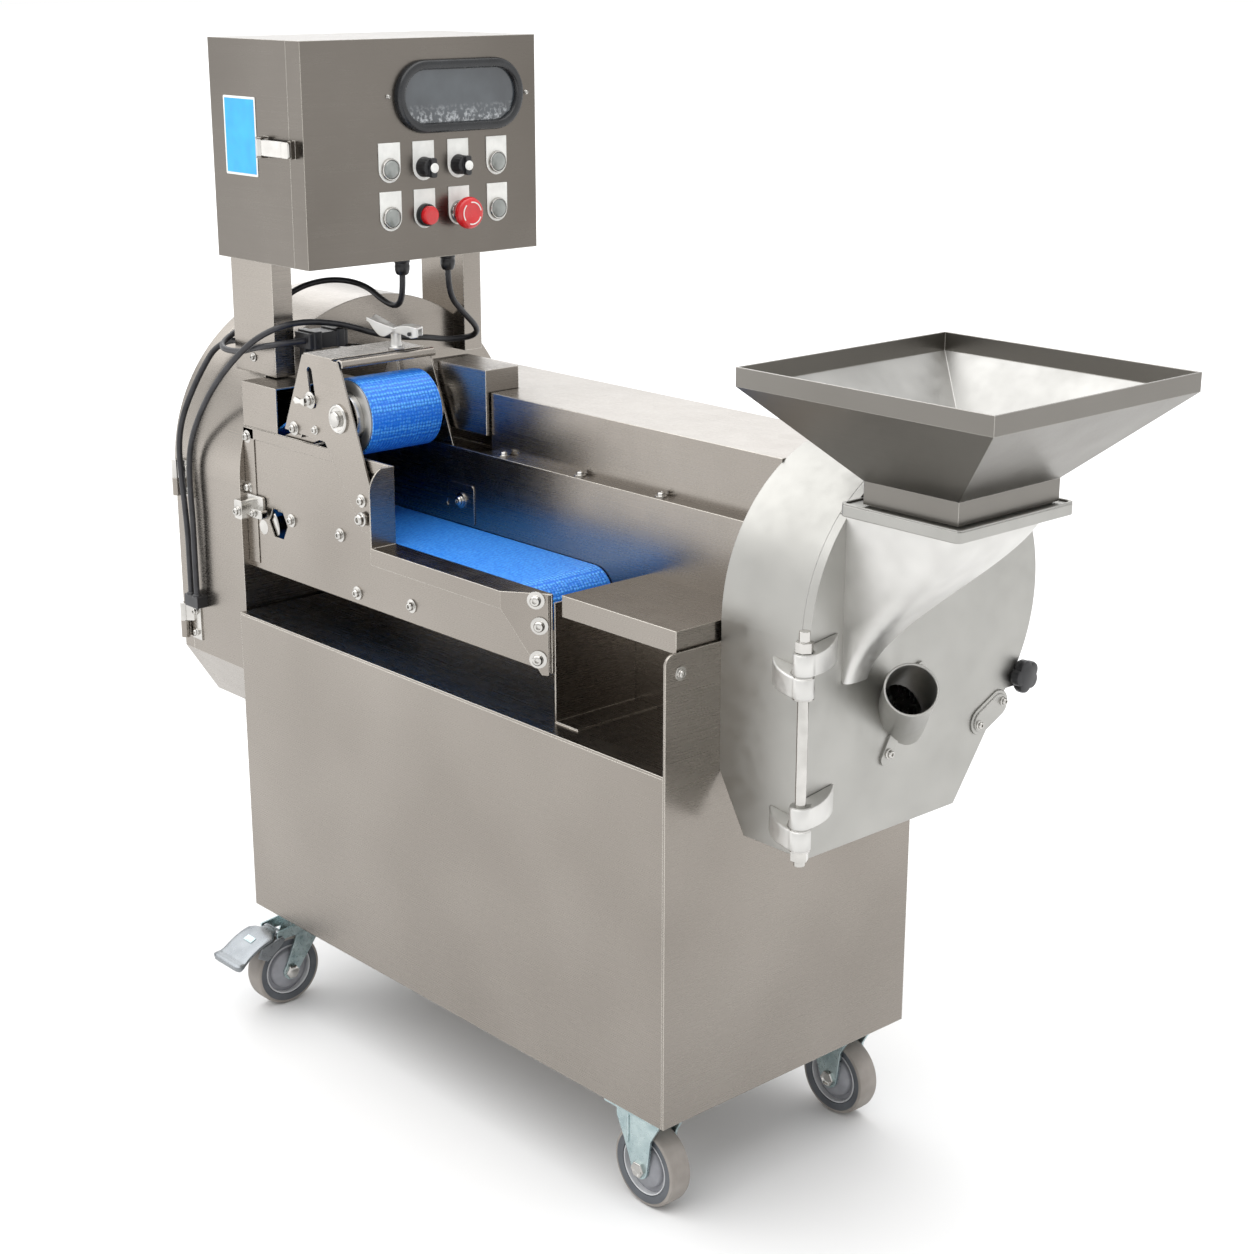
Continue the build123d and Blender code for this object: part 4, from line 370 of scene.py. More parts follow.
# Extruded rubber cable sheath: satin black with a fine orange-peel
cable_rubber = grained("cable_rubber", "#1d1d20", "#303034", {"Roughness": 0.4}, 0.9, 0.06, 17.0)
# Moulded glass-filled nylon: black, slightly glossy, with a grey painted highlight at its edges
black_nylon = grained(
    "black_nylon", "#131315", "#202023", {"Roughness": 0.34}, 0.8, 0.05, 17.0, 0.8, "#3a3a3e"
)
# Extruded EPDM rim: smooth black rubber that shines where it curves
rim_rubber = grained("rim_rubber", "#17181a", "#232528", {"Roughness": 0.3}, 1.0, 0.05, 25.0)
# Injection-moulded polycarbonate: glossy red with a clear top skin
glossy = {"Roughness": 0.22, "Coat Weight": 0.4}
red_button_plastic = grained("red_button_plastic", "#c0131a", "#d21b22", glossy, 1.5, 0.02, 17.0)
# Engraving laminate: matt white plate
white_legend = grained("white_legend", "#dcdcd8", "#ecece8", {"Roughness": 0.5}, 0.8, 0.02, 17.0)
# Printed vinyl: saturated sky blue with a satin film over it
blue_label = grained("blue_label", "#129be0", "#1fabec", {"Roughness": 0.35}, 1.0, 0.02, 25.0)
# Hammered enamel on the motors: blue-grey, faintly dimpled
machine_paint = grained("machine_paint", "#39434c", "#46515b", {"Roughness": 0.45}, 1.6, 0.05, 33.0)
# The embossing repeats every 3.5 mm or so; it is drawn at 4.6 mm so that it shows
blue_belt = textured_belt("blue_pu_belt", 4.6)

# Moulded acrylic lens: a grey dome that lets some light in and shines like glass
lamp_lens = grained(
    "lamp_lens",
    "#8b8f8c",
    "#9ca09c",
    {"Roughness": 0.12, "IOR": 1.49, "Transmission Weight": 0.2, "Coat Weight": 0.6},
    2.0,
    0.02,
    12.0,
)

# Acrylic pane over a dark display: slate, with dried polish left along its lower edge
display_glass, glass_tree, glass = surface(
    "display_glass",
    {"Roughness": 0.12, "IOR": 1.5, "Specular IOR Level": 0.6, "Coat Weight": 0.5},
)
glass_place = node(glass_tree, "ShaderNodeTexCoord")
haze = patches(glass_tree, glass_place, 60.0, 4.0, 0.0, 1.0)
slate = node(
    glass_tree,
    "ShaderNodeMix",
    {"data_type": "RGBA"},
    {6: linear("#2e3338"), 7: linear("#454b50")},
    {"Factor": (haze, "Result")},
)
flakes = patches(glass_tree, glass_place, 4.5, 8.0, -1.6, 1.9)
corner_of = node(glass_tree, "ShaderNodeSeparateXYZ", links={"Vector": (glass_place, "Object")})
low_edge = node(
    glass_tree,
    "ShaderNodeMapRange",
    sockets={"From Min": 1.218, "From Max": 1.185, "To Min": 0.0, "To Max": 1.0},
    links={"Value": (corner_of, "Z")},
)
residue = node(
    glass_tree,
    "ShaderNodeMath",
    {"operation": "MULTIPLY", "use_clamp": True},
    links={0: (flakes, "Result"), 1: (low_edge, "Result")},
)
pane = node(
    glass_tree,
    "ShaderNodeMix",
    {"data_type": "RGBA"},
    {7: linear("#a9adb0")},
    {"Factor": (residue, "Value"), 6: (slate, 2)},
)
feed(glass_tree, glass, {"Base Color": (pane, 2)})


def merged(*shapes):
    """Several shapes, each (points, faces), as one."""
    points = np.vstack([shape[0] for shape in shapes])
    starts = np.cumsum([0] + [len(shape[0]) for shape in shapes[:-1]])
    faces = [
        [int(start) + corner for corner in face]
        for start, shape in zip(starts, shapes)
        for face in shape[1]
    ]
    return points, faces


def across(axis):
    """Two unit vectors square to an axis and to each other."""
    axis = np.array(axis, float) / np.linalg.norm(axis)
    first = np.cross(axis, (0.0, 0.0, 1.0) if abs(axis[2]) < 0.9 else (1.0, 0.0, 0.0))
    first /= np.linalg.norm(first)
    return first, np.cross(axis, first), axis


def grid_faces(rows, columns, wrap_rows=False):
    """Quads of a tube's grid, whose corners are row * columns + column and whose columns wrap."""
    row = np.arange(rows if wrap_rows else rows - 1)
    r, c = np.meshgrid(row, np.arange(columns), indexing="ij")
    r2, c2 = (r + 1) % rows, (c + 1) % columns
    quads = np.stack([r * columns + c, r * columns + c2, r2 * columns + c2, r2 * columns + c], -1)
    return quads.reshape(-1, 4).tolist()


def capped(rows, columns):
    """Quads of a tube's grid, with one face over its first row and one over its last."""
    last = (rows - 1) * columns
    ends = [list(range(columns))[::-1], list(range(last, last + columns))]
    return grid_faces(rows, columns) + ends


def turned(profile, centre, axis, steps=48, closed=False):
    """A profile of (radius, height) turned about an axis, both in millimetres.

    p(t, a) = centre + height(t) * axis + radius(t) * (cos a * u + sin a * v), closed by a
    face at each end, or for a ring by joining its last circle to its first."""
    u, v, w = across(axis)
    profile = np.array(profile, float) / 1000.0
    angle = np.linspace(0.0, 2 * pi, steps, endpoint=False)
    ring = np.cos(angle)[:, None] * u + np.sin(angle)[:, None] * v
    points = profile[:, 0, None, None] * ring[None] + profile[:, 1, None, None] * w + centre
    rows = len(profile)
    return points.reshape(-1, 3), grid_faces(rows, steps, True) if closed else capped(rows, steps)


def slab(outline, origin, u, v, thickness):
    """A flat outline in millimetres on the plane of u and v, given thickness along u x v."""
    outline = np.array(outline, float) / 1000.0
    u, v = np.array(u, float), np.array(v, float)
    through = np.cross(u, v) * thickness / 1000.0
    base = np.array(origin) + outline[:, :1] * u + outline[:, 1:] * v
    count = len(outline)
    side = np.arange(count)
    faces = np.stack([side, (side + 1) % count, (side + 1) % count + count, side + count], -1)
    faces = faces.tolist() + [list(range(count))[::-1], list(range(count, 2 * count))]
    return np.vstack([base, base + through]), faces


def rounded(width, height, radius, steps=8):
    """A rectangle's outline with arcs of one radius at its corners, anticlockwise."""
    turn = np.linspace(0.0, pi / 2, steps)
    corner = np.stack([np.cos(turn), np.sin(turn)], -1) * radius
    out = []
    for quarter, (sx, sy) in enumerate(((1, 1), (-1, 1), (-1, -1), (1, -1))):
        c, s = cos(quarter * pi / 2), sin(quarter * pi / 2)
        spun = corner @ np.array([[c, s], [-s, c]])
        out.append(spun + (sx * (width / 2 - radius), sy * (height / 2 - radius)))
    return np.vstack(out)


def swept(path, sections):
    """Closed sections, one at each point of a path, joined side to side and capped.

    path is (points, u, v) with one row each; sections are (rows, corners, 2) in metres."""
    points, u, v = (np.array(part, float) for part in path)
    rows, corners = sections.shape[:2]
    at = points[:, None] + sections[..., :1] * u[:, None] + sections[..., 1:] * v[:, None]
    return at.reshape(-1, 3), capped(rows, corners)


def piece(name, shape, material, body, bevel=0.0, stands_for=()):
    """A finished mesh object of one shape, at the origin, riding on its body."""
    mesh = bpy.data.meshes.new(name)
    mesh.from_pydata(shape[0].tolist(), [], shape[1])
    work = bmesh.new()
    work.from_mesh(mesh)
    bmesh.ops.recalc_face_normals(work, faces=work.faces)
    work.to_mesh(mesh)
    work.free()
    mesh.polygons.foreach_set("use_smooth", np.ones(len(mesh.polygons), bool))
    mesh.set_sharp_from_angle(angle=radians(38))
    mesh.materials.append(material)
    made = bpy.data.objects.new(name, mesh)
    scene.collection.objects.link(made)
    if bevel:
        rounding = made.modifiers.new("edges", "BEVEL")
        rounding.width = bevel / 1000.0
        rounding.segments = 2
        rounding.limit_method = "ANGLE"
        rounding.angle_limit = radians(38)
    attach(made, body)
    if stands_for:
        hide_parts(*stands_for)
    return made


# Cables: 8 mm rubber-sheathed control cable, limp, each on its route through the fittings
cable_routes = {
    "cable_over_head": (
        560,
        ((734, 211, 999.5), (734, 211, 973), (752, 215, 955), (790, 221, 957), (838, 224, 975),
         (872, 197, 982), (880, 150, 976), (888, 120, 957), (919, 110, 936), (938, 91, 919),
         (938, 63, 906), (919, 44, 898), (868, 41, 900), (824, 36, 912), (785, 48, 920),
         (785, 88, 920)),
    ),
    "cable_front_inner": (
        901,
        ((734, 286, 999.5), (734, 286, 967), (737, 311, 941), (742, 342, 914), (761, 349, 901),
         (780, 342, 896), (792, 323, 895), (789, 290, 902), (785, 245, 907), (785, 200, 917),
         (785, 155, 934), (785, 104, 944), (789, 66, 944), (808, 38, 931), (838, 24, 907),
         (886, 11, 859), (925, 5, 806), (948, 4, 762), (951, 3, 715), (948, 3, 665),
         (949, 3, 610), (949, 3, 556)),
    ),
    "cable_front_outer": (
        403,
        ((916, 78, 904), (943, 78, 904), (959, 60, 893), (962, 43, 870), (967, 23, 834),
         (972, 9, 798), (975, 4, 764), (972, 3, 725), (967, 3, 680), (965, 4, 635),
         (964, 3, 596), (964, 3, 556)),
    ),
}
for cable_name, (cable_mm, route) in cable_routes.items():
    line = bpy.data.curves.new(cable_name + "_line", "CURVE")
    line.dimensions = "3D"
    line.resolution_u = 10
    line.bevel_depth = 0.004
    line.bevel_resolution = 5
    line.use_fill_caps = True
    spline = line.splines.new("NURBS")
    spline.points.add(len(route) - 1)
    flat = np.hstack([[place(*point) for point in route], np.ones((len(route), 1))])
    spline.points.foreach_set("co", flat.ravel())
    spline.order_u = 3
    spline.use_endpoint_u = True
    line.materials.append(cable_rubber)
    cable = bpy.data.objects.new(cable_name + "_laid", line)
    scene.collection.objects.link(cable)
    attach(cable, "machine")
    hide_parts(cable_name)


def screw(at, axis, size, washer=1.7):
    """A domed cap screw on its washer, as one turned profile with a key recess on top."""
    return turned(
        (
            (washer * size, 0.0),
            (washer * size, 0.3 * size),
            (1.05 * size, 0.38 * size),
            (size, 0.45 * size),
            (size, 0.95 * size),
            (0.8 * size, 1.2 * size),
            (0.45 * size, 1.28 * size),
            (0.42 * size, 0.8 * size),
        ),
        at,
        axis,
        20,
    )


def plate_outline(half, top):
    """A legend plate's outline: a half circle below, straight sides and a square top."""
    turn = np.linspace(pi, 2 * pi, 17)
    arc = np.stack([np.cos(turn), np.sin(turn)], -1) * half
    return np.vstack([arc, [(half, top), (-half, top)]])


panel_columns = (178.0, 232.0, 288.0, 352.0)
panel_rows = (1139.0, 1078.0)
panel_places = [(back, up) for up in panel_rows for back in panel_columns]

# Legend plates under the controls, bare
piece(
    "legend_plates",
    merged(
        *(
            slab(plate_outline(17.0, 33.0), place(BOX_FACE, back, up), BACK, UP, 1.2)
            for back, up in panel_places
        )
    ),
    white_legend,
    "control_door_body",
    0.3,
)

# Lamps: a chromed bezel ring and a domed grey lens, one dome per lamp
lamps = [place(BOX_FACE, *panel_places[index]) for index in (0, 3, 4, 7)]
bezel = ((13.6, 0.3), (14.2, 1.6), (14.0, 4.2), (13.2, 5.4), (12.2, 5.6), (11.9, 3.0))
dome_turn = np.linspace(0.0, pi / 2 - 0.12, 9)
lens = np.stack([11.9 * np.cos(dome_turn), 4.0 + 5.6 * np.sin(dome_turn)], -1)
dome = np.vstack([[(11.9, 1.0)], lens])
piece(
    "lamp_bezels",
    merged(*(turned(bezel, at, OUT) for at in lamps)),
    turned_steel,
    "control_door_body",
)
piece(
    "lamp_domes",
    merged(*(turned(dome, at, OUT) for at in lamps)),
    lamp_lens,
    "control_door_body",
    stands_for=("pilot_lamps",),
)


def fluted(radius, height, flutes, depth, at):
    """A knob whose side waves round its axis above a plain foot, drawn in towards its top.

    r(t, a) = radius(t) * (1 + depth * cos(flutes * a)), with its rows at set heights."""
    rows = [(1.0, 0.3), (1.0, 3.0), (0.94, 5.0), (0.92, height - 2.5), (0.86, height - 0.7)]
    rows = np.array(rows + [(0.74, height)])
    steps = 96
    angle = np.linspace(0.0, 2 * pi, steps, endpoint=False)
    wave = 1.0 + depth * np.cos(flutes * angle)
    r = radius * rows[:, :1] * np.where(rows[:, 1:] < 4.0, 1.0, wave[None])
    u, v, w = across(OUT)
    around = np.cos(angle)[:, None] * u + np.sin(angle)[:, None] * v
    points = r[..., None] * around[None] + rows[:, 1:, None] * w
    return points.reshape(-1, 3) / 1000.0 + at, capped(len(rows), steps)


# Selector knobs: a fluted black body, a grip bar across it and a pale cap with a pointer line
for side, index, body in (("left", 1, "knob_left"), ("right", 2, "knob_right")):
    at = place(BOX_FACE, *panel_places[index])
    grip = slab(rounded(9.0, 25.0, 3.0), at + (0.018, 0.0, 0.0), BACK, UP, 6.0)
    piece(
        f"selector_body_{side}",
        merged(fluted(13.0, 18.5, 18, 0.018, at), grip),
        black_nylon,
        body,
        0.5,
        (f"selector_knob_{side}",),
    )
    cap = turned(((6.2, 23.6), (6.2, 24.8), (5.2, 25.4), (2.5, 25.6)), at, OUT, 32)
    pointer = slab(rounded(1.6, 9.0, 0.7), at + (0.0252, 0.0, 0.0), BACK, UP, 0.5)
    piece(f"selector_cap_{side}", merged(cap, pointer), white_legend, body)

# Push button: a black collar round a red cap; the collar stays on the door
button_at = place(BOX_FACE, *panel_places[5])
guard = ((14.0, 0.3), (14.6, 1.4), (14.4, 8.0), (13.6, 9.4), (12.6, 9.4), (12.4, 0.3))
guard = turned(guard, button_at, OUT, 48, True)
piece("button_collar", guard, black_nylon, "control_door_body")
cap = ((12.0, 5.6), (12.1, 13.6), (11.6, 15.2), (10.2, 16.0), (5.0, 15.6))
piece(
    "button_cap",
    turned(cap, button_at, OUT),
    red_button_plastic,
    "button",
    stands_for=("red_button",),
)

# Emergency stop: a chromed collar, a mushroom head with a shallow dish and three white arcs
stop_at = place(BOX_FACE, *panel_places[6])
guard = ((14.0, 0.3), (15.0, 1.4), (14.8, 4.6), (13.8, 6.0), (12.0, 6.0), (11.6, 0.3))
guard = turned(guard, stop_at, OUT, 48, True)
piece("stop_collar", guard, turned_steel, "control_door_body")
mushroom = (
    (9.5, 7.6), (9.5, 13.0), (12.0, 14.5), (19.6, 17.0), (20.9, 20.5), (20.6, 24.4), (19.0, 27.4),
    (16.6, 29.0), (13.5, 29.4), (10.5, 28.6), (5.0, 28.1),
)
piece(
    "stop_mushroom",
    turned(mushroom, stop_at, OUT, 64),
    red_button_plastic,
    "stop_button",
    stands_for=("emergency_stop",),
)
arcs = []
for start in (0.2, 2.3, 4.4):
    turn = np.linspace(start, start + 1.5, 12)
    arc = np.stack([np.cos(turn), np.sin(turn)], -1)
    outline = np.vstack([arc * 15.0, arc[::-1] * 13.4])
    arcs.append(slab(outline, stop_at + (0.0289, 0.0, 0.0), BACK, UP, 0.6))
piece("stop_arcs", merged(*arcs), white_legend, "stop_button")


def stadium(width, height, steps=24):
    """An oval of two half circles joined by straight runs, anticlockwise."""
    turn = np.linspace(-pi / 2, pi / 2, steps)
    right = np.stack([np.cos(turn), np.sin(turn)], -1) * height / 2
    shift = (width / 2 - height / 2, 0.0)
    return np.vstack([right + shift, -right - shift])


def beaded_rim(outer, bead, at, lift):
    """A rubber bead round an oval: every outline point carries the bead's own cross-section.

    p(s, a) = centre line(s) + bead * (cos a * outwards(s) + lift * sin a * away from door)."""
    line = stadium(outer[0] - bead, outer[1] - bead)
    ahead = np.roll(line, -1, 0) - np.roll(line, 1, 0)
    out = np.stack([ahead[:, 1], -ahead[:, 0]], -1)
    out /= np.linalg.norm(out, axis=1)[:, None]
    turn = np.linspace(0.0, 2 * pi, 20, endpoint=False)
    shape = np.sign(np.cos(turn)) * np.abs(np.cos(turn)) ** 0.7 * bead / 2
    depth = np.sign(np.sin(turn)) * np.abs(np.sin(turn)) ** 0.7 * lift
    flat = line[:, None] + out[:, None] * shape[None, :, None]
    points = np.concatenate([np.broadcast_to(depth[None, :, None], (*flat.shape[:2], 1)), flat], -1)
    return points.reshape(-1, 3) / 1000.0 + at, grid_faces(len(line), 20, True)


# Display window: a thick rubber rim round a smoky pane, with a screw at each end
window_at = place(BOX_FACE, 292.0, 1227.0)
piece(
    "window_rim",
    beaded_rim((206.0, 92.0), 13.0, window_at + (0.001, 0.0, 0.0), 9.0),
    rim_rubber,
    "control_door_body",
    stands_for=("display_window",),
)
piece(
    "window_pane",
    slab(stadium(188.0, 76.0), window_at - (0.001, 0.0, 0.0), BACK, UP, 4.0),
    display_glass,
    "control_door_body",
)
piece(
    "window_screws",
    merged(*(screw(place(BOX_FACE, *at), OUT, 2.6, 1.2) for at in ((179, 1229), (404, 1226)))),
    turned_steel,
    "control_door_body",
)

# Blank blue plate with a white border on the box's side
label_at = place(851.0, 48.9, 1179.5)
piece(
    "label_border",
    slab(rounded(74.0, 99.0, 2.0, 4), label_at, OUT, UP, 0.6),
    white_legend,
    "machine",
)
piece(
    "label_field",
    slab(rounded(68.0, 93.0, 1.0, 4), label_at - (0.0, 0.0005, 0.0), OUT, UP, 0.3),
    blue_label,
    "machine",
)


# Fastenings on the sheets: domed cap screws on washers, and the press's two pivot pins
cap_run = 60.2
cap_way = np.array([49.0, 35.0, 0.0]) / cap_run
cap_out = np.array([35.0, -49.0, 0.0]) / cap_run
cap_corner = place(264.0, -10.0, 710.0)
front_plate_screws = ((833, 795), (836, 726), (737, 699), (627, 701), (594, 632), (480, 640))
sheet_screws = [screw(place(left, 25.0, up), FRONT, 5.2) for left, up in front_plate_screws]
sheet_screws += [
    screw(cap_corner + cap_way * (cap_run - back) / 1000.0 - (0, 0, drop / 1000.0), cap_out, 6.2)
    for back, drop in ((18, 6), (14, 36), (16, 76))
]
sheet_screws += [screw(place(left, 162.0, 809.0), UP, 4.2) for left in (467, 323, 182)]
sheet_screws += [
    screw(place(0.0, 21.5, 672.0), OUT, 4.6),
    screw(place(538.0, 149.0, 742.0), FRONT, 6.0),
    screw(place(868.5, 62.6, 891.0), FRONT, 3.6),
]
pins = [
    turned(((5.0, 0.0), (5.0, 10.0)), place(564.0, 15.0, 735.0), BACK, 32),
    turned(((5.0, 0.0), (5.0, 11.0)), place(564.0, 152.0, 735.0), BACK, 32),
    screw(place(564.0, 15.0, 735.0), FRONT, 7.0, 1.3),
]
piece(
    "sheet_screws",
    merged(*sheet_screws, *pins),
    turned_steel,
    "machine",
    stands_for=("panel_bolts",),
)
piece(
    "wall_tab",
    slab(rounded(52.0, 52.0, 5.0), place(538.0, 150.0, 738.0), OUT, UP, 1.4),
    brushed_stainless,
    "machine",
    0.5,
)
piece(
    "joint_strip",
    merged(
        slab(rounded(24.0, 182.0, 1.0, 3), place(829.5, 25.0, 716.0), OUT, UP, 1.6),
        slab(rounded(322.0, 15.0, 1.0, 3), place(680.0, 25.0, 801.0), OUT, UP, 1.6),
    ),
    brushed_stainless,
    "machine",
    0.5,
)

# Toggle clamp beside the hand hole: a bright yoke with its pin, folded from thick plate
clamp_at = place(820.0, 24.0, 702.0)
clamp = merged(
    slab(rounded(46.0, 30.0, 4.0), clamp_at + (0.0, 0.0, 0.002), OUT, UP, 4.0),
    slab(rounded(18.0, 26.0, 3.0), clamp_at + (-0.018, -0.004, -0.004), OUT, UP, 13.0),
    slab(rounded(26.0, 12.0, 4.0), clamp_at + (0.02, -0.004, -0.004), OUT, UP, 9.0),
    screw(clamp_at + (-0.018, -0.017, -0.006), FRONT, 5.0, 1.4),
    screw(clamp_at + (0.014, -0.013, -0.004), FRONT, 4.0, 1.4),
)
piece("hole_clamp", clamp, turned_steel, "machine", 1.2)

# Press: flanges and caps at the drum's ends, screws on the side plates, and the rolled tie bar
flange = ((18.5, 0.0), (18.5, 2.4), (17.0, 3.6), (14.8, 3.6), (14.2, 2.6), (10.3, 2.6))
drum_cap = ((9.9, 0.0), (9.9, 4.4), (8.6, 5.8), (5.0, 6.2))
back_cap = ((9.9, -3.0), (9.9, -0.6), (8.6, 0.0))
press_front = [
    turned(flange, place(DRUM[0], PRESS_FRONT, DRUM[1]), FRONT),
    screw(place(710.0, PRESS_FRONT, 826.0), FRONT, 5.4),
    screw(place(663.0, PRESS_FRONT, 831.0), FRONT, 4.2, 1.4),
    screw(place(671.0, PRESS_FRONT, 868.0), FRONT, 6.4),
    screw(place(568.0, PRESS_FRONT, 757.0), FRONT, 5.0),
]
wing = np.array([(-4, -5), (5, -2.4), (16, -4.5), (20, 0), (16, 4.5), (5, 2.4), (-4, 5)])
press_front.append(slab(wing, place(676.0, 11.0, 866.0), (-1, 0, 0), UP, -3.0))
press_back = [
    turned(flange, place(DRUM[0], PRESS_BACK, DRUM[1]), BACK),
    screw(place(710.0, PRESS_BACK, 826.0), BACK, 5.4),
    screw(place(671.0, PRESS_BACK, 868.0), BACK, 6.4),
]
piece(
    "press_fastenings", merged(*press_front, *press_back), turned_steel, "press"
)
piece(
    "drum_caps",
    merged(
        turned(drum_cap, place(DRUM[0], PRESS_FRONT - 3.0, DRUM[1]), FRONT, 40),
        turned(back_cap, place(DRUM[0], PRESS_BACK + 3.0, DRUM[1]), BACK, 40),
    ),
    turned_steel,
    "press_drum_body",
)
belt_front, belt_back = 36.0, 141.0
drum_ring = ((33.3, 0.1), (45.0, 0.1), (45.0, 1.6), (43.6, 2.4), (39.0, 3.2), (33.3, 3.8))
piece(
    "drum_rings",
    merged(
        turned(drum_ring, place(DRUM[0], belt_front, DRUM[1]), FRONT, 72, True),
        turned(drum_ring, place(DRUM[0], belt_back, DRUM[1]), BACK, 72, True),
    ),
    pale_lit_stainless,
    "press_drum_body",
)
turn = np.linspace(radians(200), radians(-25), 10)
roll = np.stack([np.cos(turn) * 7.0, np.sin(turn) * 7.0], -1)
roll_wall = np.vstack([roll, roll[::-1] * (5.2 / 7.0)])
roll_at = place(606.0, 160.5, 920.0)
piece(
    "tie_roll",
    slab(roll_wall, roll_at, OUT, UP, 143.0),
    brushed_stainless,
    "press",
)

# Wing handle: a cast saddle with down-turned cheeks, square-cut on one side, on a fluted stem
stem_at = place(630.0, 122.0, 926.0)
stem = turned(
    ((10.0, 0.0), (10.0, 2.6), (7.6, 4.4), (6.6, 9.0), (6.4, 17.0), (7.6, 23.0), (8.6, 27.0)),
    stem_at,
    UP,
    40,
)
s = np.linspace(-1.0, 1.0, 31)
left_part, right_part = np.clip(-s, 0, 1), np.clip(s, 0, 1)
half_wide = 7.5 + 7.0 * left_part**0.8 + 4.0 * right_part**0.9
half_wide -= 2.5 * (5 * np.clip(right_part - 0.8, 0, 1)) ** 2
cheek = 5.0 + 12.0 * np.sin(pi * np.clip(left_part * 1.05, 0, 1)) ** 1.2 + 13.0 * right_part**0.7
cheek -= 24.0 * np.clip(right_part - 0.75, 0, 1)
rise = 28.0 + 13.0 * left_part**1.1 + 3.0 * np.sin(pi * right_part) + 1.0 * right_part
dish = 2.6 * left_part + 0.6
wall = 2.6
side = np.linspace(-1.0, 1.0, 13)
top_u = half_wide[:, None] * side
top_v = -dish[:, None] * (1.0 - side**2) - 0.9 * np.abs(side) ** 6
shell_u = np.hstack([-half_wide[:, None], top_u, half_wide[:, None]])
shell_v = np.hstack([-cheek[:, None], top_v, -cheek[:, None]])
within = (half_wide - wall)[:, None]
inner_u = np.hstack([within, (top_u * (1 - wall / half_wide[:, None]))[:, ::-1], -within])
inner_v = np.hstack([-cheek[:, None], top_v[:, ::-1] - wall, -cheek[:, None]])
sections = np.stack([np.hstack([shell_u, inner_u]), np.hstack([shell_v, inner_v])], -1) / 1000.0
along = np.array([0.86, 0.51, 0.0])
line = stem_at + s[:, None] * 0.033 * along + rise[:, None] / 1000.0 * np.array(UP)
side_way = np.broadcast_to(np.array([0.51, -0.86, 0.0]), (31, 3))
up_way = np.broadcast_to(np.array(UP), (31, 3))
piece(
    "wing_lever",
    merged(stem, swept((line, side_way, up_way), sections)),
    cast_steel,
    "wing",
    stands_for=("wing_handle",),
)
ear_at = stem_at + 0.023 * along + 0.0118 * side_way[0] + 0.021 * np.array(UP)
piece(
    "wing_ear_hole",
    turned(((2.6, 0.0), (2.6, 0.4), (0.6, 0.5)), ear_at, side_way[0], 24),
    black_nylon,
    "wing",
)

# Guide rod behind the press: a bright rod with a black end, from the clip's post to the box
rod_start, rod_end = place(792.0, 150.0, 905.0), place(746.0, 176.0, 905.0)
rod_way = rod_end - rod_start
piece(
    "guide_rod",
    turned(((5.0, 0.0), (5.0, 52.0), (4.4, 53.0)), rod_start, rod_way, 28),
    turned_steel,
    "machine",
)
rod_tip = rod_start + rod_way / np.linalg.norm(rod_way) * 0.053
piece(
    "rod_end_cap",
    turned(((5.4, 0.0), (5.4, 7.0), (4.4, 9.0), (2.6, 9.0), (2.6, 12.0)), rod_tip, rod_way, 24),
    black_nylon,
    "machine",
)


def border(outer, inner, centre, low, high):
    """A ring between two outlines with the same number of corners, from low to high."""
    loops = ((outer, low), (outer, high), (inner, high), (inner, low))
    points = [np.hstack([loop, np.full((len(loop), 1), up)]) for loop, up in loops]
    return np.vstack(points) / 1000.0 + (*centre, 0.0), grid_faces(4, len(outer), True)


# Scoop: a cast chute that turns the fall from the tray towards the disc, smooth all over
chute_top, chute_foot, chute_wall = 852.0, 668.0, 3.0
t = np.linspace(0.0, 1.0, 40)[:, None]
ease = t * t * (3 - 2 * t)
front = 132.0
back = 292.0 - (292.0 - 168.0) * (0.35 * t + 0.65 * ease)
reach_out = 8.0 + 138.0 * (1.0 - (0.45 * t + 0.55 * ease)) ** 1.12
height = chute_top - (chute_top - chute_foot) * t
half = np.linspace(0.0, pi, 33)[None]
power = 0.30 + 0.34 * t


def scoop_wall(inset):
    """Rows of a half superellipse: out = reach * sin^p a, along = middle - half width * cos^p a."""
    middle = (front + back) / 2
    half_width = (back - front) / 2 - inset
    along = middle - half_width * np.sign(np.cos(half)) * np.abs(np.cos(half)) ** power
    out = np.maximum(reach_out - inset, 0.6) * np.abs(np.sin(half)) ** power
    return np.stack([out - DOOR_FACE, along, np.broadcast_to(height, along.shape)], -1)


corner_place = np.array((END_X, FRONT_Y, 0.0))
outer_wall = scoop_wall(0.0)
chute = np.concatenate([outer_wall, scoop_wall(chute_wall)[:, ::-1]], 1)
chute_points = (chute + corner_place).reshape(-1, 3) / 1000.0
foot = np.vstack([outer_wall[-1, :, :2], [(130.0, outer_wall[-1, -1, 1])]])
foot_plate = slab(foot, place(0.0, 0.0, chute_foot), OUT, BACK, chute_wall)
tray_middle = place(-209.0, 212.0, 0.0)[:2]
tray_outline = rounded(158.0, 184.0, 7.0)
tray_hole = rounded(109.0, 145.0, 4.0) + (5.0, 0.0)
tray_top = 864.0
tray = border(tray_outline, tray_hole, tray_middle, chute_top, tray_top)
lip = border(tray_outline, rounded(150.0, 176.0, 5.0), tray_middle, tray_top, tray_top + 2.0)
piece(
    "scoop_chute",
    merged((chute_points, capped(*chute.shape[:2])), foot_plate),
    cast_steel,
    "disc_door_body",
    stands_for=("disc_scoop",),
)
piece(
    "scoop_tray",
    merged(tray, lip),
    blasted_stainless,
    "disc_door_body",
    1.4,
    ("disc_scoop",),
)

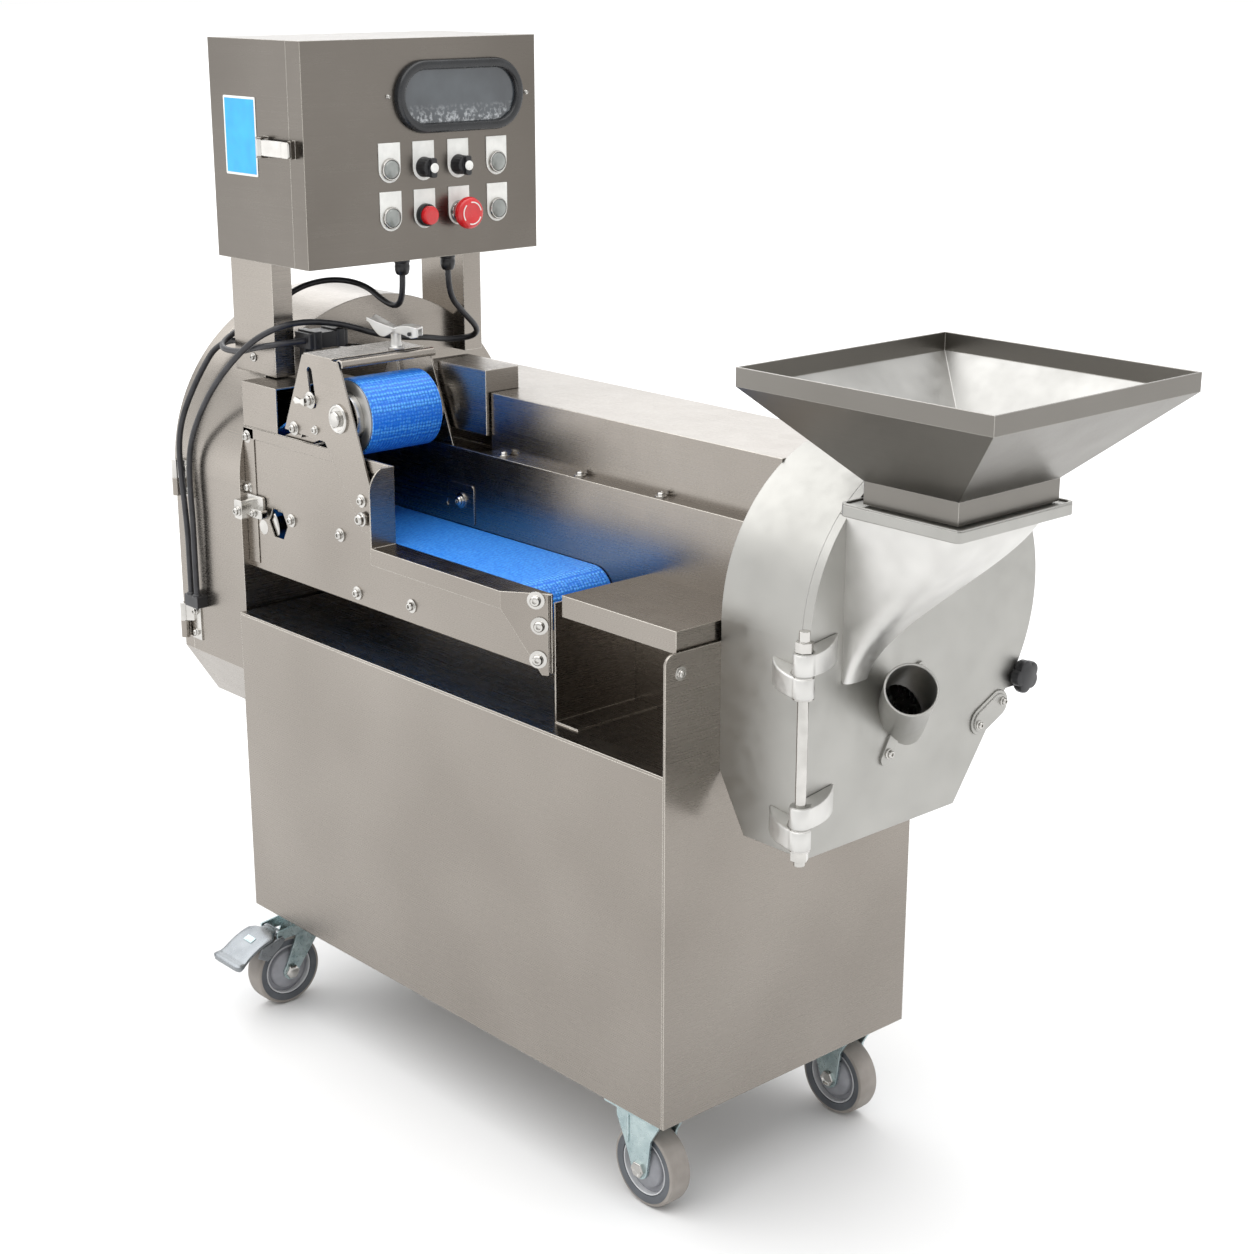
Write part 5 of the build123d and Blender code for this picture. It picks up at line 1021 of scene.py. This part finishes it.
# On the disc door: the oval plate with its two screws, and the two screws of the tube's strap
plate_line = np.array([(360.0, 568.6), (401.0, 587.8)])
run = plate_line[1] - plate_line[0]
along = run / np.linalg.norm(run)
plate_u = (0.0, along[0], along[1])
plate_v = (0.0, -along[1], along[0])
plate_middle = place(DOOR_FACE, *plate_line.mean(0))
piece(
    "door_plate",
    merged(
        slab(stadium(66.0, 32.0), plate_middle, plate_u, plate_v, 2.4),
        slab(stadium(58.0, 24.0), plate_middle + (0.0024, 0, 0), plate_u, plate_v, 1.6),
    ),
    blasted_stainless,
    "disc_door_body",
    0.6,
)
piece(
    "door_screws",
    merged(
        *(screw(place(DOOR_FACE - 4.0, *at), OUT, 4.0, 1.3) for at in plate_line),
        screw(place(DOOR_FACE - 3.0, 208.0, 571.6), OUT, 4.4, 1.3),
        screw(place(DOOR_FACE - 3.0, 257.0, 656.8), OUT, 4.4, 1.3),
    ),
    turned_steel,
    "disc_door_body",
)

# Feed tube's mouth: a rolled, rounded edge that stands round the bore
way = np.array((0.6, -0.55, 0.58))
way /= np.linalg.norm(way)
tube_root = place(DOOR_FACE, 231.0, 612.0)
mouth = ((27.0, -3.0), (29.3, -3.0), (29.8, -1.0), (29.4, 0.6), (28.2, 1.2), (27.2, 0.6))
tube_length = 0.088
piece(
    "tube_mouth",
    turned(mouth, tube_root + way * tube_length, way, 64, True),
    blasted_stainless,
    "disc_door_body",
)


def bent(start, pull, end, steps=10):
    """A curve from start to end that one point pulls: (1-t)^2 a + 2t(1-t) b + t^2 c."""
    t = np.linspace(0.0, 1.0, steps)[:, None]
    a, b, c = (np.array(point, float) for point in (start, pull, end))
    return (1 - t) ** 2 * a + 2 * t * (1 - t) * b + t**2 * c


hinge_rod = (139.0, 64.0)


def casting(edge, up, rise):
    """A cast lug in plan, 23 mm high at the rod, whose top climbs by rise to its far end."""
    points, faces = slab(edge, place(0.0, 0.0, up + 1.0), OUT, BACK, 23.0)
    reach = np.hypot(*(edge - hinge_rod).T)
    climb = np.clip((reach - 14.0) / (reach.max() - 14.0), 0.0, 1.0) ** 1.5
    points[len(edge) :, 2] += rise * climb / 1000.0
    return points, faces


# Disc head hinge: cast eyes on the rod, the lower of each pair on the housing, the upper on
# the door
eye = ((6.4, 0.4), (10.4, 0.4), (11.8, 2.2), (11.8, 22.8), (10.4, 24.6), (6.4, 24.6))
housing_lug = np.vstack([
    bent((76.0, 82.6), (96.0, 58.0), (137.0, 52.6)),
    [(146.0, 62.0), (139.0, 74.6)],
    bent((132.0, 74.0), (116.0, 73.0), (110.0, 82.6)),
])
door_lug = np.vstack([
    [(130.4, 62.0), (139.0, 53.4)],
    bent((150.4, 64.0), (151.0, 96.0), (132.0, 122.0)),
    [(130.4, 122.0)],
])
hinge_levels = (501.0, 526.3, 669.0, 694.3)
for level, up in enumerate(hinge_levels):
    on_door = level % 2 == 1
    lug = casting(door_lug, up, 8.0) if on_door else casting(housing_lug, up, 5.0)
    piece(
        f"hinge_casting_{level + 1}",
        merged(lug, turned(eye, place(-hinge_rod[0], hinge_rod[1], up), UP, 40)),
        cast_steel,
        "disc_door_body" if on_door else "machine",
        1.6,
    )

# Castor wheels: a rubber tread on a rim, a pale bead inside it, a stepped hub and the axle
tread = (
    (45.2, -15.4), (48.4, -14.4), (49.7, -11.5), (50.0, -6.0), (50.0, 6.0), (49.7, 11.5),
    (48.4, 14.4), (45.2, 15.4), (44.0, 12.0), (44.0, -12.0),
)
rim = (
    (35.6, -12.0), (36.6, -14.4), (45.0, -15.2), (45.0, 15.2), (36.6, 14.4), (35.6, 12.0),
)
bead = (
    (33.6, -9.0), (33.8, -13.6), (34.8, -14.2), (35.6, -13.4), (35.6, 13.4), (34.8, 14.2),
    (33.8, 13.6), (33.6, 9.0),
)
hub = (
    (6.5, -18.0), (11.0, -18.0), (13.5, -16.6), (24.5, -13.5), (26.5, -11.5), (27.5, -7.5),
    (33.6, -7.0), (33.6, 7.0), (27.5, 7.5), (26.5, 11.5), (24.5, 13.5), (13.5, 16.6),
    (11.0, 18.0), (6.5, 18.0),
)
axle = (
    (6.0, -24.0), (9.5, -26.5), (10.5, -25.5), (10.5, -21.6), (6.0, -21.6), (6.0, 21.6),
    (10.5, 21.6), (10.5, 25.5), (9.5, 26.5), (6.0, 28.0),
)
wheels = (
    ("front_left", "wheel_fl", place(SWIVEL_LEFT, 11.0, WHEEL_RADIUS), OUT),
    ("rear_left", "wheel_rl", place(SWIVEL_LEFT, 321.0, WHEEL_RADIUS), OUT),
    ("front_right", "wheel_fr", place(FIXED_LEFT, 42.0, WHEEL_RADIUS), BACK),
    ("rear_right", "wheel_rr", place(FIXED_LEFT, 364.0, WHEEL_RADIUS), BACK),
)
wheel_parts = (
    ("tread", tread, 72, True, tread_rubber, "castor_tyre", 0.0),
    ("rim", rim, 72, True, rim_plastic, "castor_tyre", 0.0),
    ("bead", bead, 72, True, bead_plastic, "castor_tyre", 0.0),
    ("hub", hub, 48, False, hub_plastic, "castor_tyre", 0.0),
    ("axle", axle, 6, False, turned_steel, "polished_steel", 0.5),
)
for corner, body, at, axis in wheels:
    for part, profile, steps, closed, finish, slot, bevel in wheel_parts:
        shape = turned(profile, at, axis, steps, closed)
        piece(f"{part}_{corner}", shape, finish, body, bevel, (f"wheel_{corner}",))

# Fixed castors: pressed brackets whose cheeks start as wide as the plate and taper to the axle
boss = np.linspace(radians(200), radians(350), 14)
cheek = np.vstack([
    np.stack([np.cos(boss), np.sin(boss)], -1) * 13.0,
    [(19.0, 42.0), (33.0, 66.0), (35.0, 79.6), (-39.0, 79.6), (-39.0, 56.0), (-26.0, 30.0)],
])
fold = np.array([(-20.0, 79.6), (-20.0, 30.0), (-18.4, 26.0), (-16.8, 30.0), (-16.8, 79.6)])
for corner, back in (("front", 42.0), ("rear", 364.0)):
    sides = []
    for out in (-1.0, 1.0):
        near = place(FIXED_LEFT, back + out * 17.6, WHEEL_RADIUS)
        far = place(FIXED_LEFT, back + out * 22.2, WHEEL_RADIUS)
        sides += [slab(cheek, near, OUT, UP, -4.6 * out), slab(fold, far, OUT, UP, -1.6 * out)]
    piece(f"castor_cheeks_{corner}", merged(*sides), zinc_plate, "machine", 1.0)

# Brake pedals: a broad cast plate that bows over the wheel and flares into a rolled toe lip
t = np.linspace(0.0, 1.0, 44)
toe = np.clip((t - 0.78) / 0.22, 0, 1) ** 1.6
out, drop = -78.0 * t, 3.0 * np.sin(pi * t) + 2.0 - 34.0 * t**1.8 + 7.0 * toe
half_wide = 15.0 + 14.0 * np.clip((t - 0.14) / 0.12, 0, 1) ** 0.5
half_wide += 3.0 * np.clip((t - 0.75) / 0.15, 0, 1) - 5.0 * np.clip((t - 0.95) / 0.05, 0, 1) ** 2
thick = 6.4 - t + 5.0 * np.clip((t - 0.84) / 0.1, 0, 1)
thick -= 3.0 * np.clip((t - 0.955) / 0.045, 0, 1) ** 2
ring = rounded(2.0, 2.0, 0.35, 5) / 1000.0
sections = ring[None] * np.stack([half_wide, thick / 2], -1)[:, None]
run = np.stack([0 * t, out, drop], -1) / 1000.0
slope = np.gradient(run, axis=0)
slope /= np.linalg.norm(slope, axis=1)[:, None]
side_way = np.broadcast_to(np.array((-1.0, 0.0, 0.0)), run.shape)
lift = np.cross(side_way, slope)
middle = 20
ear = [(0.0, 0.0), (-34.0, -9.0), (-40.0, -22.0), (-26.0, -30.0), (-6.0, -16.0), (4.0, -6.0)]
barrel = ((3.1, -16.5), (6.0, -16.5), (6.0, 16.5), (3.1, 16.5))
pedals = (("front_left", "pedal_front", -3.0), ("rear_left", "pedal_rear", 307.0))
for corner, body, pivot_back in pedals:
    pivot = place(SWIVEL_LEFT, pivot_back, 108.0)
    line = pivot + run
    plate = swept((line, side_way, lift), sections)
    ears = [slab(ear, pivot + (x, 0.0, 0.0), BACK, UP, 2.4) for x in (-0.0247, 0.0223)]
    piece(
        f"pedal_{corner}",
        merged(plate, turned(barrel, pivot, OUT, 32, True), *ears),
        pedal_aluminium,
        body,
        0.4,
        (f"brake_pedal_{corner}",),
    )
    patch_at = line[middle] + lift[middle] * thick[middle] / 2000.0
    patch = slab(rounded(19.0, 10.0, 1.5), patch_at, OUT, -slope[middle], 0.8)
    piece(f"pedal_patch_{corner}", patch, zinc_plate, body, 0.3)


# Cable fittings: glands with domed nuts, a clip block with its strap, a grommet and a switch
gland = (
    (10.4, 0.0), (10.4, 5.0), (9.6, 6.0), (9.6, 9.0), (10.0, 10.0), (9.8, 15.0), (8.6, 19.5),
    (6.6, 21.8), (4.3, 22.0),
)
grommet = ((7.5, -0.5), (7.5, 1.0), (6.2, 2.6), (4.2, 3.0))
fittings = [turned(gland, place(734.0, back, 1021.5), DOWN, 24) for back in (211.0, 286.0)]
fittings += [
    slab(rounded(36.0, 62.0, 4.0), place(791.0, 119.0, 910.0), OUT, BACK, 20.0),
    slab(rounded(14.0, 14.0, 2.0), place(802.0, 102.0, 868.0), OUT, BACK, 43.0),
    slab(rounded(40.0, 12.0, 2.0), place(791.0, 101.0, 909.0), OUT, BACK, 23.0),
    slab(rounded(40.0, 12.0, 2.0), place(791.0, 137.0, 909.0), OUT, BACK, 23.0),
    turned(grommet, place(913.0, 78.0, 904.0), (-1, 0, 0), 28),
    slab(rounded(34.0, 17.0, 3.0), place(956.0, 14.0, 547.5), OUT, UP, 17.0),
]
nozzle = ((6.4, 0.0), (6.4, 3.0), (4.3, 5.0))
fittings += [turned(nozzle, place(left, 3.0, 554.0), UP, 24) for left in (949.0, 964.0)]
piece(
    "nylon_fittings",
    merged(*fittings),
    black_nylon,
    "machine",
    0.8,
    ("cable_fittings",),
)

# Leaf head hinge screws, and the star knob: five lobes, r(a) = 16 + 4 |cos 2.5 a|^0.8
hinge_screws = [
    screw(place(970.0, 12.0, up), FRONT, 4.0, 1.3) for up in (497.0, 527.0, 701.0, 731.0)
]
piece("hinge_screws", merged(*hinge_screws), turned_steel, "machine")

star_at = place(DOOR_FACE, 433.43, 612.0)
steps = 120
angle = np.linspace(0.0, 2 * pi, steps, endpoint=False)
rows = np.array([(0.55, 0.0), (0.8, 2.0), (1.0, 5.0), (1.0, 10.5), (0.9, 13.0), (0.5, 14.5)])
lobes = 16.0 + 4.0 * np.abs(np.cos(2.5 * angle)) ** 0.8
u, v, w = across(OUT)
around = np.cos(angle)[:, None] * u + np.sin(angle)[:, None] * v
radius = 9.0 + (lobes[None] - 9.0) * rows[:, :1] ** 0.8
star_points = radius[..., None] * around[None] + rows[:, 1:, None] * w
piece(
    "star_grip",
    merged(
        (star_points.reshape(-1, 3) / 1000.0 + star_at, capped(len(rows), steps)),
        turned(((5.0, -26.0), (5.0, 0.5)), star_at, OUT, 24),
    ),
    black_nylon,
    "door_clamp",
    stands_for=("star_knob",),
)

# Latch on the control box: a bright folded bar, its hooked end and its pivot barrel
latch_lever = merged(
    slab(rounded(58.0, 20.0, 3.0), place(763.0, 39.5, 1169.0), OUT, UP, 2.0),
    slab(rounded(16.0, 20.0, 3.0), place(731.0, 37.6, 1169.0), OUT, UP, 3.0),
    turned(((5.4, -10.5), (5.4, 10.5)), place(793.0, 40.0, 1169.0), UP, 28),
)
piece(
    "latch_bar", latch_lever, turned_steel, "latch", 0.7, ("latch_lever",)
)

# Hopper inside: the four funnel walls seen from inside, a hair inside the sheet, in paler steel as
# painted light from above
lit_walls = []
for way, neck, rim, neck_side, rim_side in (
    (OUT, 60.0, 163.5, 78.0, 160.5), ((-1, 0, 0), 60.0, 163.5, 78.0, 160.5),
    (BACK, 78.0, 160.5, 60.0, 163.5), (FRONT, 78.0, 160.5, 60.0, 163.5),
):
    way = np.array(way, float)
    foot = place(-214.0, 212.0, 890.5) + way * (neck - 0.3) / 1000.0
    climb = way * (rim - neck) / 1000.0 + np.array(UP) * 0.092
    length = np.linalg.norm(climb)
    tall = length * 1000.0
    wall = [(-neck_side, 0.0), (neck_side, 0.0), (rim_side, tall), (-rim_side, tall)]
    lit_walls.append(slab(wall, foot, np.cross(way, UP), climb / length, 0.5))
piece("hopper_lit_inside", merged(*lit_walls), pale_lit_stainless, "hopper_body")


# The CAD nodes that keep their shape, each with its finish; the hopper's and the control box's
# sheet is made darker as painted shade
finishes = {
    brushed_stainless: (
        "cabinet_shell", "cabinet_back_panel", "cabinet_end_panel", "cabinet_deck",
        "conveyor_front_plate", "conveyor_back_wall", "belt_bed", "front_shelf", "side_table",
        "rear_covers", "leaf_head_housing", "leaf_head_door", "box_columns", "press_frame",
    ),
    shaded_box_stainless: ("control_box", "control_door"),
    shaded_hopper_stainless: ("hopper",),
    blasted_stainless: ("disc_head_housing", "disc_door", "feed_tube"),
    turned_steel: (
        "press_drum", "press_nose_roller", "feed_drive_roller", "feed_tail_roller",
        "fixed_hinges", "knife_shaft", "disc_shaft", "knife_motor_pulley", "disc_motor_pulley",
    ),
    ground_knife: ("leaf_knives", "slicing_disc"),
    blue_belt: ("feed_belt", "press_belt"),
    machine_paint: ("drive_motors", "shaft_bearings"),
    cable_rubber: ("drive_belts",),
    zinc_plate: ("castor_mounts", "castor_fork_front_left", "castor_fork_rear_left"),
}
for finish, names in finishes.items():
    for name in names:
        mesh = nodes[name].data
        mesh.materials.clear()
        mesh.materials.append(finish)


# Stage: a white floor to the horizon in a white studio, under one very wide ceiling light
floor_half, floor_level = 60.0, -0.0002
corners = np.array([(-1, -1), (1, -1), (1, 1), (-1, 1)]) * floor_half
floor_mesh = bpy.data.meshes.new("floor")
floor_mesh.from_pydata([(x, y, floor_level) for x, y in corners], [], [(0, 1, 2, 3)])
floor_paint = {"Base Color": linear("#dedede"), "Roughness": 0.9, "Specular IOR Level": 0.0}
floor_mesh.materials.append(surface("floor_paint", floor_paint)[0])
floor = bpy.data.objects.new("floor", floor_mesh)
scene.collection.objects.link(floor)


def soft_panel(name, at, aim, width, height, power):
    """A rectangular softbox that faces a point."""
    light = bpy.data.lights.new(name, "AREA")
    light.shape = "RECTANGLE"
    light.size = width
    light.size_y = height
    light.energy = power
    lamp = bpy.data.objects.new(name, light)
    lamp.location = at
    lamp.rotation_euler = (Vector(aim) - Vector(at)).to_track_quat("-Z", "Y").to_euler()
    scene.collection.objects.link(lamp)


ceiling = bpy.data.lights.new("ceiling", "SUN")
ceiling.energy = 3.0
ceiling.angle = radians(95)
ceiling_lamp = bpy.data.objects.new("ceiling", ceiling)
ceiling_lamp.rotation_euler = (radians(8), radians(-12), 0.0)
scene.collection.objects.link(ceiling_lamp)
soft_panel("left_light", (-3.2, -2.6, 1.2), (-0.1, 0.0, 0.3), 1.4, 2.6, 7)
soft_panel("right_light", (3.4, 1.6, 2.0), (0.3, 0.0, 0.6), 1.6, 2.6, 3)
soft_panel("back_light", (-3.9, 3.5, 2.8), (0.0, 0.0, 0.8), 4.2, 1.8, 34)
world = bpy.data.worlds.new("studio")
world.use_nodes = True
scene.world = world
backdrop = world.node_tree.nodes["Background"]
backdrop.inputs["Color"].default_value = linear("#ffffff")
backdrop.inputs["Strength"].default_value = 1.0
scene.view_settings.view_transform = "Standard"
